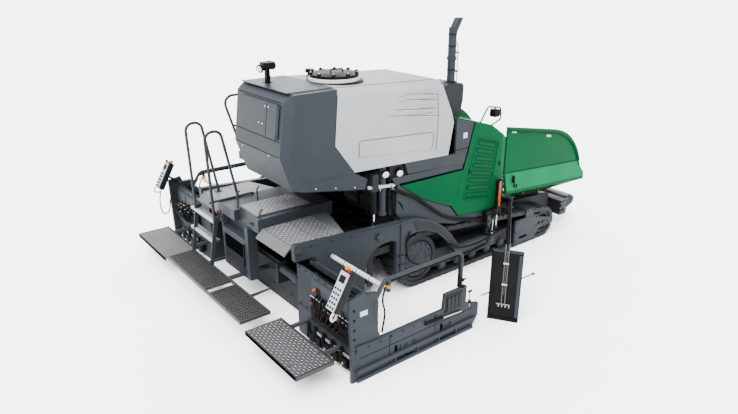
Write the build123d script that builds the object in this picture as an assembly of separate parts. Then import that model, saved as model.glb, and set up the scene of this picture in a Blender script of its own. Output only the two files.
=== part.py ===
"""Crawler asphalt paver with a spray tank and an extending screed, in millimetres.

+X is the direction of travel (hopper end), +Y the machine's left, +Z up. Stations are measured
forward from the rear edge of the screed walkway. At export everything moves back by
ORIGIN_STATION, so that the origin lies on the ground at mid length and mid width.
"""
from build123d import *
import math
import os

os.makedirs("parts", exist_ok=True)

# ---------------------------------------------------------------- overall
HALF_WIDTH = 1275            # tractor, outer face of the tracks
RUNNING_GAP = 6              # air between pieces that pass each other
SEAT_GAP = 0.3               # air at a round seat, such as a roller in its track
STEEL = 12                   # ordinary steel plate
THICK_STEEL = 30             # frame plate

# ---------------------------------------------------------------- tracks
SHOE_WIDTH = 305
SPROCKET_X = 2780
SPROCKET_R = 420             # to the pads' outer faces
IDLER_X = 5660
IDLER_R = 270
BELT_DEPTH = 70              # chain and shoe together
PAD_DEPTH = 26
PAD_GAP = 26
SHOE_COUNT = 50
ROLLER_COUNT = 7
ROLLER_R = 85
GUARD_REAR = 4880            # plate over the front of the track
GUARD_FRONT = 5480
GUARD_TOP = 480
GUARD_STAY_Z = 616           # shelf over the belt, back to the main frame

# ---------------------------------------------------------------- main frame
FRAME_HALF = 950             # outer face of the side plates, inside the tracks
FRAME_REAR = 2240
FRAME_FRONT = 6200
FRAME_LOW = 270
TUNNEL_FLOOR = 735           # conveyor floor through the tractor
TUNNEL_ROOF = 1120
FRAME_TOP = 1210             # seat of the tank cradle and the platform
ENGINE_REAR = 3440
ENGINE_LENGTH = 1040
ENGINE_HALF = 420
ENGINE_HEIGHT = 780
PIVOT_X = 6260               # upright pin of the push beam

# ---------------------------------------------------------------- hopper
HOPPER_TILT = 4.3            # the whole hopper drops towards the front
WING_REAR = 4640            # foot of the hinge line
WING_BACK = 4596             # rear edge of the wings' walls, close behind the hood
WALL_X = 4560                # hopper's rear wall, behind the wings' path
WING_FRONT = 6700
WING_HALF = 1285             # outer face of a wing's side wall
HINGE_Y = 760                # wing hinge line, from the middle
HINGE_Z = 740                # at the wing's rear edge
HINGE_R = 28
HINGE_PIN_R = 12
WING_WALL = 30
WING_FOLD = 295              # height of the lower fold above the hinge line
WING_INSET = 60              # wall above the band stands this far inside the fold
WING_BAND = 590              # top of the lower band
WING_RIM = 1350              # top rim
RIM_DEPTH = 45
RIM_STAND = 18
WING_CORNER_STEPS = 12        # flats that stand for the big front corner
FLOOR_LENGTH = 1880
APRON_U = FLOOR_LENGTH + 45  # apron hinge, along the drooping floor
APRON_PIN_R = 14
SLAT_PITCH = 300
SLAT_HEIGHT = 40
APRON_HEIGHT = 330

# ---------------------------------------------------------------- push rollers
PUSH_X = 6690
PUSH_Z = 400
PUSH_R = 85
PUSH_LENGTH = 760
PUSH_BEAM_HALF = 1120
PUSH_SHAFT_R = 24

# ---------------------------------------------------------------- engine hood
HOOD_REAR = 3440
HOOD_WALL = 40
HOOD_SILL = 1700             # hood's front face starts here, the hopper's rear wall ends here
HOOD_TOP = [(HOOD_REAR, 2400), (3810, 2290), (4160, 2190), (4560, 1930)]
FLANK_OUTLINE = [(3810, 2290), (4160, 2190), (4560, 1930), (4560, 1400), (4380, 830), (3550, 910),
                 (3400, 1090), (3520, 1250), (3600, 1610)]
LOUVRE_FIELD = [(3880, 2030), (4330, 1900), (4200, 1060), (3640, 1150)]
LOUVRE_COUNT = 8
LOUVRE_DEPTH = 22
CORNER_LENGTH = 130          # bevel down the front corner of a flank
CORNER_DEPTH = 50

# ---------------------------------------------------------------- spray tank
TANK_LEFT = -80              # inner side, next to the operator's platform
TANK_TOP = 3020
TANK_REAR = 740
TANK_BEND_X = 640            # rear face leans back to this edge
TANK_BEND_Z = 2300
SEAM_X = 1400                # slate rear part ahead of this, silver shell behind it
SHELL_FRONT = 3390
SHELL_LOW_FRONT = (3280, 1890)
SHELL_TOP_FRONT = (3110, 2950)
GROOVES = ((2830, 2350), (2760, 2350), (2640, 2300), (2570, 2300))    # height, rear end
HATCH_X = 1720
HATCH_Y = -760
HATCH_R = 300
LID_Z = 3086
LID_THICK = 34
LID_HINGE_Y = -415
DOOR_HINGE_Y = -1120
DOOR_LOW = 2500
DOOR_HIGH = 2900
TANK_CHAMFER = 85            # top and rear corner edges

# ---------------------------------------------------------------- operator's platform
DECK_TOP = 1650
DECK_PLATE = 25
DECK_REAR = 1300
DECK_FRONT = 3400
DECK_RIGHT = TANK_LEFT + 20
DECK_LEFT = 1220
RAIL_TOP = 2600
RAIL_R = 19

# ---------------------------------------------------------------- exhaust
STACK_X = 3600
STACK_Y = -940
STACK_R = 58
STACK_TOP = 3700
HOUSING_HEIGHT = 430         # above the hood's rear edge
HOUSING_OUTER = 1010
HOUSING_FRONT = 3800

# ---------------------------------------------------------------- screed
SCREED_REAR = 1000           # basic screed, behind it the extensions travel
SCREED_FRONT = 1540
SCREED_TOP = 520
EXT_REAR = 760
EXT_FRONT = 985
EXT_TOP = 970
EXT_SOLE_TOP = 420
EXT_WALL = 25
EXT_TRAY = 895               # floor of the open tray along the top
TUBE_X = 866                 # telescopic tube of an extension
TUBE_R = 52
SCALE_X = 1220               # width scale, ahead of the extension
SCALE_Z = 965
SCALE_R = 27
GUIDE_FRONT = 940            # tube guides of the basic screed, inside the extensions
GUIDE_LOW = 440
GUIDE_FOOT = 600
TUBE_Z = {"right": 640, "left": 800}
PAVE_HALF = 2500             # inner face of the end plates, screed fully extended
END_THICK = 70
END_REAR = 640
END_FRONT = 2665
TOWER_REAR = 2050
TOWER_FRONT = 2430
TOWER_TOP = 650
HOOP_FRONT = 2390
HOOP_TOP = 1110
WALK_DEPTH = 500
WALK_OUTER = 2410
WALK_TOP = 300
GRATING_TOP = 372
GRATING_DEPTH = 420
TREAD_Z = 1200
MID_TREAD_Z = 1350
BEAM_TOP = 1290
BEAM_OUTER = 540
BEAM_INNER = 440
MID_REAR = 690
MID_FRONT = 1500
WELL_RIGHT = 50              # left edge of the middle tread
BODY_RIGHT = 260
BODY_LEFT = 470
BODY_REAR = 600              # step well at mid width
BODY_FRONT = 738
LEDGE_Z = 950
STEP_RIGHT = 495
STEP_LEFT = 1130

# ---------------------------------------------------------------- tow arms
TOW_X = 4200
TOW_Z = 360
TOW_PIN_R = 40
LEVEL_X = 4345               # upright levelling cylinder
ARM_LOW = 1040               # clears the extensions' top
ARM_FOOT_X = 1000            # ahead of the extensions the arm comes down to the sole
ARM_FOLD_X = 1700
ARM_FOLD = 18
ARM_INNER = 1285
ARM_THICK = 80
LIFT_X = 1980                # screed lift cylinder
LIFT_PIN_Z = 1100
LIFT_LOW_Z = 1310            # mouth of the barrel
LIFT_Y = 1230

# ---------------------------------------------------------------- augers
AUGER_X = 1900
AUGER_Z = 330
AUGER_R = 200
AUGER_PITCH = 300

# ---------------------------------------------------------------- spray boards
BOARD_X = 3020
BOARD_Y = 2665
BOARD_PIVOT_X = 4540
BOARD_PIVOT_Y = 1420
BOARD_ARM_Z = 940
BOARD_LOW_EAR = 845
BOARD_HIGH_EAR = 1010
BOARD_HEIGHT = 1010
BOARD_WIDTH = 400
BOARD_ANGLE = 57             # turned outboard about the upright

# ---------------------------------------------------------------- worked out
PUSH_FRONT = PUSH_X + PUSH_R
STACK_BASE = HOOD_TOP[0][1] + HOUSING_HEIGHT
OVERALL_LENGTH = PUSH_FRONT
ORIGIN_STATION = OVERALL_LENGTH / 2
TRACK_INNER = HALF_WIDTH - SHOE_WIDTH
ARM_OUTER = ARM_INNER + ARM_THICK
WIDE_HALF = PAVE_HALF + END_THICK


# ================================================================ helpers
def block(x0, x1, y0, y1, z0, z1):
    """Box between two corners."""
    return Pos((x0 + x1) / 2, (y0 + y1) / 2, (z0 + z1) / 2) * Box(x1 - x0, y1 - y0, z1 - z0)


def side_plate(outline, y0, y1):
    """Solid with an X-Z outline between two Y planes."""
    face = make_face(Polyline(*[(x, y0, z) for x, z in outline], close=True))
    return extrude(face, amount=y1 - y0, dir=(0, 1, 0))


def cross_plate(outline, x0, x1):
    """Solid with a Y-Z outline between two stations."""
    face = make_face(Polyline(*[(x0, y, z) for y, z in outline], close=True))
    return extrude(face, amount=x1 - x0, dir=(1, 0, 0))


def floor_plate(outline, z0, z1):
    """Solid with an X-Y outline between two heights."""
    face = make_face(Polyline(*[(x, y, z0) for x, y in outline], close=True))
    return extrude(face, amount=z1 - z0, dir=(0, 0, 1))


def rod(start, end, radius):
    """Round bar between two points."""
    along = Vector(*end) - Vector(*start)
    return extrude(Plane(origin=start, z_dir=along) * Circle(radius), amount=along.length)


def pipe(points, radius, bend):
    """Bent tube through points, with one bend radius."""
    path = FilletPolyline(*points, radius=bend)
    first = Vector(*points[1]) - Vector(*points[0])
    return sweep(Plane(origin=points[0], z_dir=first) * Circle(radius), path=path)


def mirrored(shape):
    """The same piece on the machine's other side."""
    return mirror(shape, about=Plane.XZ)


def pair(shape):
    """A right-hand piece with its left-hand copy, as separate solids of one node."""
    solids = list(shape.solids()) + list(mirrored(shape).solids())
    return Compound(children=solids)


def between(start, end, x):
    """Height at a station on the straight line between two X-Z points."""
    return start[1] + (end[1] - start[1]) * (x - start[0]) / (end[0] - start[0])


def node(name, shape):
    """Write one piece to its file, with the origin at mid length."""
    export_step(shape.moved(Location((-ORIGIN_STATION, 0, 0))), f"parts/{name}.step")


def both_sides(name, shape):
    """Write a right-hand piece and its mirror image as two nodes."""
    node(f"{name}_right", shape)
    node(f"{name}_left", mirrored(shape))


# ================================================================ tracks
def belt_face(depth):
    """Face inside the track loop, at one depth below its outer line."""
    big, small = SPROCKET_R - depth, IDLER_R - depth
    span = IDLER_X - SPROCKET_X
    lean = math.asin((SPROCKET_R - IDLER_R) / span)
    top_big = (SPROCKET_X + big * math.sin(2 * lean), SPROCKET_R + big * math.cos(2 * lean))
    top_small = (IDLER_X + small * math.sin(2 * lean), IDLER_R + small * math.cos(2 * lean))
    quad = make_face(Polyline((SPROCKET_X, depth), (IDLER_X, depth), top_small, top_big, close=True))
    return quad + Pos(SPROCKET_X, SPROCKET_R) * Circle(big) + Pos(IDLER_X, IDLER_R) * Circle(small)


def belt_point(fraction, depth):
    """Point of the loop at a fraction of its length, at one depth below its outer line."""
    span = IDLER_X - SPROCKET_X
    lean = math.asin((SPROCKET_R - IDLER_R) / span)
    straight = span * math.cos(lean)
    big_turn, small_turn = math.pi + 2 * lean, math.pi - 2 * lean
    lengths = [straight, SPROCKET_R * big_turn, straight, IDLER_R * small_turn]
    run = (fraction % 1) * sum(lengths)
    if run < lengths[0]:
        share = run / lengths[0]
        return IDLER_X - span * share, depth
    run -= lengths[0]
    if run < lengths[1]:
        angle = -math.pi / 2 - run / SPROCKET_R
        reach = SPROCKET_R - depth
        return SPROCKET_X + reach * math.cos(angle), SPROCKET_R + reach * math.sin(angle)
    run -= lengths[1]
    if run < lengths[2]:
        share = run / lengths[2]
        nx, nz = math.sin(2 * lean), math.cos(2 * lean)
        x0, z0 = SPROCKET_X + SPROCKET_R * nx, SPROCKET_R + SPROCKET_R * nz
        x1, z1 = IDLER_X + IDLER_R * nx, IDLER_R + IDLER_R * nz
        return x0 + (x1 - x0) * share - depth * nx, z0 + (z1 - z0) * share - depth * nz
    run -= lengths[2]
    angle = math.pi / 2 - 2 * lean - run / IDLER_R
    reach = IDLER_R - depth
    return IDLER_X + reach * math.cos(angle), IDLER_R + reach * math.sin(angle)


def track():
    """Right-hand track loop, its shoes cut into the outline."""
    length = 2 * (IDLER_X - SPROCKET_X) + math.pi * (SPROCKET_R + IDLER_R)
    pad_share = 1 - PAD_GAP * SHOE_COUNT / length
    outline = []
    for shoe in range(SHOE_COUNT):
        start = (shoe + 1e-4) / SHOE_COUNT
        end = start + pad_share / SHOE_COUNT
        outline += [belt_point(start, PAD_DEPTH), belt_point(start, 0)]
        outline += [belt_point((start + end) / 2, 0), belt_point(end, 0), belt_point(end, PAD_DEPTH)]
    outer = make_face(Polyline(*outline, close=True))
    loop = extrude(outer - belt_face(BELT_DEPTH), amount=SHOE_WIDTH)
    return Pos(0, -TRACK_INNER, 0) * Rot(90, 0, 0) * loop


def track_frame():
    """Right-hand roller frame inside the loop, with its sprocket, idler and rollers."""
    outer = -HALF_WIDTH + 20
    roller_z = BELT_DEPTH + SEAT_GAP + ROLLER_R
    shape = side_plate(
        [(SPROCKET_X, SPROCKET_R - 60), (SPROCKET_X + 420, roller_z), (IDLER_X - 300, roller_z),
         (IDLER_X, IDLER_R - 50), (IDLER_X, IDLER_R + 50), (IDLER_X - 400, roller_z + 190),
         (SPROCKET_X + 420, roller_z + 290), (SPROCKET_X, SPROCKET_R + 60)],
        outer + 40, -FRAME_HALF)
    for index in range(ROLLER_COUNT):
        x = SPROCKET_X + 520 + index * (IDLER_X - SPROCKET_X - 880) / (ROLLER_COUNT - 1)
        shape += rod((x, outer + 20, roller_z), (x, -TRACK_INNER - 30, roller_z), ROLLER_R)
    for x, z, radius in ((SPROCKET_X, SPROCKET_R, SPROCKET_R), (IDLER_X, IDLER_R, IDLER_R)):
        rim = radius - BELT_DEPTH - SEAT_GAP
        shape += rod((x, outer, z), (x, -TRACK_INNER - 30, z), rim)
        shape -= rod((x, outer - 1, z), (x, outer + 39, z), rim - 60)
        shape += rod((x, outer, z), (x, outer + 60, z), rim * 0.45)
    return shape


def track_guard():
    """Right-hand plate that covers the front of the track, with its slot and idler yoke."""
    face = -HALF_WIDTH - RUNNING_GAP
    plate = side_plate(
        [(GUARD_REAR, 60), (GUARD_FRONT - 60, 60), (GUARD_FRONT, 120), (GUARD_FRONT, GUARD_TOP - 30),
         (GUARD_FRONT - 60, GUARD_TOP), (GUARD_REAR, GUARD_TOP)], face - 20, face)
    plate += side_plate([(GUARD_FRONT - 20, 190), (IDLER_X + 170, 220), (IDLER_X + 170, 330),
                         (GUARD_FRONT - 20, 420)], face - 20, face)
    plate -= block(GUARD_REAR + 130, GUARD_REAR + 330, face - 21, face + 1, 130, 175)
    stay_rear, stay_front = GUARD_REAR + 270, GUARD_REAR + 470
    web = block(stay_rear, stay_front, face - 20, face, GUARD_TOP - 10, GUARD_STAY_Z)
    shelf = block(stay_rear, stay_front, face - 20, -FRAME_HALF, GUARD_STAY_Z - 14, GUARD_STAY_Z)
    return plate + web + shelf


# ================================================================ main frame, engine, conveyors
def tilted(shape):
    """Put a piece built on the hopper's hinge line, level, into its drooping place."""
    return Pos(WING_REAR, 0, HINGE_Z) * Rot(0, HOPPER_TILT, 0) * shape


def floor_low(x):
    """Height of the hopper floor's underside at a station."""
    lean = math.radians(HOPPER_TILT)
    return HINGE_Z - math.tan(lean) * (x - WING_REAR) - THICK_STEEL / math.cos(lean)


def main_frame():
    """Side plates, belly, cross plates, hopper stringers, conveyor tunnel and front pivot fork."""
    outline = [(FRAME_REAR, 620), (FRAME_REAR + 300, FRAME_LOW), (FRAME_FRONT - 250, FRAME_LOW),
               (FRAME_FRONT, 340), (FRAME_FRONT, floor_low(FRAME_FRONT)), (WALL_X + 2, floor_low(WALL_X + 2)),
               (WALL_X, TUNNEL_ROOF), (WALL_X - 180, TUNNEL_ROOF), (FRAME_REAR + 360, FRAME_TOP),
               (FRAME_REAR + 60, FRAME_TOP), (FRAME_REAR, TUNNEL_ROOF)]
    web = side_plate(outline, -FRAME_HALF, -FRAME_HALF + THICK_STEEL)
    stringer = side_plate([(4500, 470), (4640, floor_low(4640)), (FRAME_FRONT, floor_low(FRAME_FRONT)),
                           (FRAME_FRONT, 400)], -720, -690)
    shape = web + mirrored(web) + stringer + mirrored(stringer)
    inside = FRAME_HALF - THICK_STEEL
    shape += block(FRAME_REAR + 300, FRAME_FRONT - 250, -inside, inside, FRAME_LOW, FRAME_LOW + STEEL)
    shape += block(FRAME_REAR, WALL_X, -inside, inside, TUNNEL_FLOOR - STEEL, TUNNEL_FLOOR)
    shape += block(FRAME_REAR + 60, WALL_X, -inside, inside, TUNNEL_ROOF - STEEL, TUNNEL_ROOF)
    shape += block(FRAME_FRONT - THICK_STEEL, FRAME_FRONT, -inside, inside, 340, 510)
    for x in (2900, 3900, 4500, 5400):
        shape += block(x, x + THICK_STEEL, -inside, inside, FRAME_LOW, 500)
    for z in (PUSH_Z - 100, PUSH_Z + 70):
        shape += block(FRAME_FRONT, PIVOT_X + 50, -110, 110, z, z + THICK_STEEL)
    return shape + rod((PIVOT_X, 0, PUSH_Z - 100), (PIVOT_X, 0, PUSH_Z + 100), 30)


def engine():
    """The engine as one plain block at its real place and size."""
    return block(ENGINE_REAR, ENGINE_REAR + ENGINE_LENGTH, -ENGINE_HALF, ENGINE_HALF,
                 TUNNEL_ROOF, TUNNEL_ROOF + ENGINE_HEIGHT)


def hopper_floor():
    """Fixed middle of the hopper: floor, hinge barrels, chain cover and the apron's lugs."""
    edge = HINGE_Y - HINGE_R - 10
    shape = block(-18, FLOOR_LENGTH, -edge, edge, -THICK_STEEL, 0)
    for side in (-1, 1):
        for start in (100, 800, 1500):
            shape += rod((start, side * HINGE_Y, 0), (start + 260, side * HINGE_Y, 0), HINGE_R)
            seat = sorted((side * (edge - 2), side * HINGE_Y))
            shape += block(start, start + 260, *seat, -20, 10)
        shape += rod((100, side * HINGE_Y, 0), (1760, side * HINGE_Y, 0), HINGE_PIN_R)
        lug = sorted((side * (edge - 28), side * edge))
        shape += block(FLOOR_LENGTH - 20, APRON_U + 22, *lug, -THICK_STEEL, 24)
    shape += block(20, FLOOR_LENGTH, -40, 40, 0, 60)
    shape -= rod((APRON_U, -edge - 1, 0), (APRON_U, edge + 1, 0), APRON_PIN_R + SEAT_GAP)
    return tilted(shape)


def rear_wall():
    """Steel wall that closes the hopper against the hood, with the two tunnel mouths."""
    half = HINGE_Y + 40
    wall = block(WALL_X, WALL_X + THICK_STEEL, -half, half, TUNNEL_FLOOR - STEEL, HOOD_SILL)
    for side in (-1, 1):
        mouth = sorted((side * 50, side * (HINGE_Y - 60)))
        wall -= block(WALL_X - 1, WALL_X + THICK_STEEL + 1, *mouth, TUNNEL_FLOOR, TUNNEL_ROOF - STEEL)
    return wall


def conveyor_slats():
    """Slats and chains of the two bar conveyors, in the tunnel and in the hopper."""
    shape = None
    for side in (-1, 1):
        lane = sorted((side * 60, side * (HINGE_Y - 110)))
        runs = [(60, FLOOR_LENGTH - 40, 0, True), (FRAME_REAR + 40, WALL_X - 10, TUNNEL_FLOOR, False)]
        for start, end, base, sloped in runs:
            run = None
            for edge in lane:
                chain = block(start, end, edge - 14, edge + 14, base, base + 24)
                run = chain if run is None else run + chain
            for index in range(int((end - start - 60) / SLAT_PITCH) + 1):
                x = start + 20 + index * SLAT_PITCH
                run += block(x, x + 45, *lane, base, base + SLAT_HEIGHT)
            run = tilted(run) if sloped else run
            shape = run if shape is None else shape + run
    return shape


# ================================================================ hopper wings and apron
def wing_profile(inset):
    """X-Z outline of a wing seen from the side, moved in from the top and front edges."""
    top_rear, top_front = 2080 - inset, 1865 - inset
    front = WING_FRONT - inset
    arc = ThreePointArc((front - 920, 0, top_front), (front - 370, 0, top_front - 270),
                        (front - 80, 0, top_front - 785))
    corner = [tuple(arc @ (step / WING_CORNER_STEPS)) for step in range(WING_CORNER_STEPS + 1)]
    points = [(WING_BACK, 0, 640), (WING_BACK, 0, top_rear), *corner, (front, 0, 960), (front - 15, 0, 840),
              (WING_FRONT - 700, 0, 480)]
    return make_face(Polyline(*points, close=True))


def hopper_wing():
    """Right-hand wing: floor leaf, lower band, side wall and its rolled rim, with hinge barrels."""
    length = WING_FRONT - WING_REAR + 400
    high = WING_RIM + 200
    leaf_edge = -HINGE_Y - HINGE_R - 12
    wall = -WING_HALF + WING_INSET
    outer = [(leaf_edge, -WING_WALL), (-WING_HALF, WING_FOLD - WING_WALL), (-WING_HALF, WING_FOLD + 10),
             (wall, WING_BAND), (wall, high)]
    inner = [(wall + WING_WALL, high), (wall + WING_WALL, WING_BAND - 10),
             (-WING_HALF + WING_WALL + 12, WING_FOLD + 12), (leaf_edge, 12)]
    mask = extrude(wing_profile(0), amount=2000, dir=(0, -1, 0))
    wing = tilted(cross_plate(outer + inner, -200, length)) & mask
    stand = [(wall - RIM_STAND, WING_BAND), (wall - RIM_STAND, high), (wall + WING_WALL, high),
             (wall + WING_WALL, WING_BAND)]
    edge = mask - extrude(wing_profile(RIM_DEPTH), amount=2000, dir=(0, -1, 0))
    wing += tilted(cross_plate(stand, -200, length)) & edge
    for start in (450, 1150):
        ear = rod((start, -HINGE_Y, 0), (start + 260, -HINGE_Y, 0), HINGE_R)
        ear += block(start, start + 260, leaf_edge - 4, -HINGE_Y, -18, 10)
        wing += tilted(ear - rod((start - 1, -HINGE_Y, 0), (start + 261, -HINGE_Y, 0), HINGE_PIN_R + SEAT_GAP))
    return wing


def hopper_apron():
    """Front flap between the wings, upright on its hinge bar."""
    half = HINGE_Y - 80
    bar = HINGE_Y - HINGE_R - 10
    flap = block(APRON_U - 10, APRON_U + 10, -half, half, 0, APRON_HEIGHT)
    flap += rod((APRON_U, -bar, 0), (APRON_U, bar, 0), APRON_PIN_R)
    return tilted(flap)


# ================================================================ push rollers
def push_beam():
    """Crossbar that carries both push rollers and swings on the frame's middle pin."""
    half = PUSH_BEAM_HALF
    shape = block(PUSH_X - 330, PUSH_X - 150, -half, half, PUSH_Z - 230, PUSH_Z + 40)
    for y in (-half + 20, -half + PUSH_LENGTH + 60, half - 20, half - PUSH_LENGTH - 60):
        shape += side_plate([(PUSH_X - 160, PUSH_Z - 130), (PUSH_X + 30, PUSH_Z - 60), (PUSH_X + 60, PUSH_Z),
                             (PUSH_X + 30, PUSH_Z + 60), (PUSH_X - 160, PUSH_Z + 40)], y - 20, y + 20)
    for y in (-half + 40, half - PUSH_LENGTH - 80):
        shape += rod((PUSH_X, y, PUSH_Z), (PUSH_X, y + PUSH_LENGTH + 40, PUSH_Z), PUSH_SHAFT_R)
    shape += block(PIVOT_X - 30, PUSH_X - 320, -80, 80, PUSH_Z - 64, PUSH_Z + 64)
    return shape - rod((PIVOT_X, 0, PUSH_Z - 160), (PIVOT_X, 0, PUSH_Z + 160), 30 + SEAT_GAP)


def push_roller():
    """Right-hand roller that bears on the lorry's rear wheels."""
    start, end = -PUSH_BEAM_HALF + 50, -PUSH_BEAM_HALF + 30 + PUSH_LENGTH
    drum = rod((PUSH_X, start, PUSH_Z), (PUSH_X, end, PUSH_Z), PUSH_R)
    return drum - rod((PUSH_X, start - 1, PUSH_Z), (PUSH_X, end + 1, PUSH_Z), PUSH_SHAFT_R + SEAT_GAP)


# ================================================================ hood and side panels
def hood_flank():
    """Right-hand louvred flank: a thick panel with a raised border round its slots."""
    outer = -HALF_WIDTH
    panel = side_plate(FLANK_OUTLINE, outer, outer + 60)
    panel -= side_plate(LOUVRE_FIELD, outer - 1, outer + LOUVRE_DEPTH)
    (x0, z0), (x1, z1), (x2, z2), (x3, z3) = LOUVRE_FIELD
    for index in range(LOUVRE_COUNT):
        share = (index + 0.5) / LOUVRE_COUNT
        rear, rear_z = x0 + (x3 - x0) * share, z0 + (z3 - z0) * share
        front, front_z = x1 + (x2 - x1) * share, z1 + (z2 - z1) * share
        panel += side_plate([(rear + 12, rear_z - 20), (front - 12, front_z - 20), (front - 12, front_z + 22),
                             (rear + 12, rear_z + 22)], outer + 6, outer + LOUVRE_DEPTH + 1)
    front_x = HOOD_TOP[-1][0]
    corner = floor_plate([(front_x - CORNER_LENGTH, outer - 1), (front_x + 1, outer - 1),
                          (front_x + 1, outer + CORNER_DEPTH)], 700, 2500)
    return panel - corner


def engine_hood():
    """Green cowl over engine and cooler: two louvred flanks, roof and front face, hollow inside."""
    inside = HALF_WIDTH - 60
    flank = hood_flank()
    under = [(x, z - HOOD_WALL) for x, z in reversed(HOOD_TOP)]
    shape = flank + mirrored(flank) + side_plate(HOOD_TOP + under, -inside, inside)
    front_x, front_z = HOOD_TOP[-1]
    shape += block(front_x - HOOD_WALL, front_x, -inside, inside, HOOD_SILL, front_z - 20)
    for side in (-1, 1):
        wing = sorted((side * (HINGE_Y + 40), side * inside))
        shape += block(front_x - HOOD_WALL, front_x, *wing, 1400, HOOD_SILL + 1)
        shape += block(front_x - HOOD_WALL, front_x, *sorted((side * (HINGE_Y + 40), side * 960)),
                       TUNNEL_ROOF, 1401)
        shape += side_plate([(front_x, 1400), (front_x - HOOD_WALL, 1400), (4380 - HOOD_WALL, 850),
                             (4380, 850)], *sorted((side * 955, side * inside)))
    return shape


def grey_side_panels():
    """Slate panels of the right flank: two bands, the square panel, the low skirt and its backing."""
    face = -HALF_WIDTH
    back = face + 40
    shape = side_plate([(2480, 1916), (3290, 1882), (3620, 1882), (3600, 1720), (2540, 1760)], face, back)
    shape += side_plate([(2270, 1750), (3600, 1722), (3600, 1624), (2330, 1640)], face + 10, back)
    shape += side_plate([(3430, 2380), (3796, 2275), (3688, 1925), (3430, 1925)], face + 5, back)
    shape += side_plate([(3430, 1930), (3688, 1930), (3618, 1700), (3430, 1700)], face + 5, back)
    shape += side_plate([(2350, 1500), (2370, 1650), (2420, 1610), (2800, 1338), (3380, 1080), (3536, 898),
                         (4380, 818), (4380, 760), (3500, 790), (2350, 1110)], face + 10, back)
    shape += side_plate([(2360, 1120), (2360, 1740), (2560, 1760), (2520, 1900), (3290, 1870), (3390, 1870),
                         (3390, 1110), (3360, 1000), (3000, 960)], back, back + 15)
    return shape


def green_side_panel():
    """Tapered green panel between the slate bands and the louvred flank."""
    face = -HALF_WIDTH
    return side_plate([(2430, 1616), (3597, 1606), (3515, 1250), (3397, 1093), (2800, 1352)], face, face + 40)


# ================================================================ spray tank
def rear_line(z):
    """Station of the tank's leaning rear face at a height."""
    return TANK_BEND_X + (TANK_REAR - TANK_BEND_X) * (z - TANK_BEND_Z) / (TANK_TOP - TANK_BEND_Z)


def door_knuckle(low, high, radius):
    """Length of the access door's leaning hinge line between two heights."""
    return rod((rear_line(low) - 14, DOOR_HINGE_Y, low), (rear_line(high) - 14, DOOR_HINGE_Y, high), radius)


def tank_body():
    """Slate rear part of the tank, undercut at the rear and carried forward under the shell."""
    outline = [(TANK_REAR, TANK_TOP), (TANK_BEND_X, TANK_BEND_Z), (780, 1880), (1800, 1700), (1850, 1830),
               (1640, 1955), (1350, 2340), (SEAM_X, 2950), (SEAM_X, TANK_TOP)]
    body = side_plate(outline, -HALF_WIDTH, TANK_LEFT)
    corner = [edge for edge in body.edges()
              if edge.center().Y < -HALF_WIDTH + 1 and edge.center().X < (TANK_REAR + SEAM_X) / 2
              and edge.center().Z > TANK_BEND_Z - 250]
    top = [edge for edge in body.edges() if edge.center().Z > TANK_TOP - 1 and edge.center().X < TANK_REAR + 1]
    body = chamfer(corner + top, TANK_CHAMFER)
    for low in (DOOR_LOW + 10, DOOR_HIGH - 50):
        body += door_knuckle(low, low + 40, 14.5)
    return body


def tank_shell():
    """Silver shell, with styling grooves and the bore under the hatch."""
    outline = [(SEAM_X + 4, TANK_TOP), (SEAM_X + 4, 2948), (1354, 2342), (1644, 1958), SHELL_LOW_FRONT,
               (SHELL_FRONT, 2490), (3210, 2860), SHELL_TOP_FRONT]
    shell = side_plate(outline, -HALF_WIDTH, TANK_LEFT)
    rim = [edge for edge in shell.edges()
           if edge.center().Y < -HALF_WIDTH + 1 and edge.center().Z > 2400 and edge.center().X > SEAM_X + 100]
    shell = chamfer(rim, TANK_CHAMFER)
    for z, start in GROOVES:
        shell -= side_plate([(start, z), (2950, z - 22), (2950, z - 34), (start, z - 8)],
                            -HALF_WIDTH - 1, -HALF_WIDTH + 10)
    return shell - rod((HATCH_X, HATCH_Y, TANK_TOP - 260), (HATCH_X, HATCH_Y, TANK_TOP + 5), HATCH_R - 40)


def tank_deck():
    """Top deck of the tank, with the hatch neck and the lid's hinge lugs."""
    start, end = (SEAM_X + 4, TANK_TOP), SHELL_TOP_FRONT
    front = 3060
    z = between(start, end, front)
    rear = TANK_REAR + TANK_CHAMFER + 10
    shape = side_plate([(rear, TANK_TOP), start, (front, z), (front, z + STEEL), (SEAM_X + 4, TANK_TOP + STEEL),
                        (rear, TANK_TOP + STEEL)], -HALF_WIDTH + TANK_CHAMFER + 10, TANK_LEFT - 50)
    neck = TANK_TOP + 2
    shape += rod((HATCH_X, HATCH_Y, neck), (HATCH_X, HATCH_Y, LID_Z - SEAT_GAP), HATCH_R)
    shape += block(HATCH_X - 120, HATCH_X + 120, LID_HINGE_Y - 30, LID_HINGE_Y + 30, neck, neck + 14)
    for x in (HATCH_X - 90, HATCH_X + 70):
        shape += block(x, x + 20, LID_HINGE_Y - 22, LID_HINGE_Y + 22, neck, LID_Z + 34)
    shape -= rod((HATCH_X, HATCH_Y, neck - 60), (HATCH_X, HATCH_Y, LID_Z + 1), HATCH_R - 38)
    return shape


def tank_lid():
    """Round hatch cover with its hinge arm and pin."""
    lid = rod((HATCH_X, HATCH_Y, LID_Z), (HATCH_X, HATCH_Y, LID_Z + LID_THICK), HATCH_R + 10)
    lid += block(HATCH_X - 60, HATCH_X + 60, HATCH_Y + HATCH_R - 60, LID_HINGE_Y, LID_Z, LID_Z + 24)
    pin_z = LID_Z + 12
    end = 70 - SEAT_GAP
    return lid + rod((HATCH_X - end, LID_HINGE_Y, pin_z), (HATCH_X + end, LID_HINGE_Y, pin_z), 12)


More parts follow.
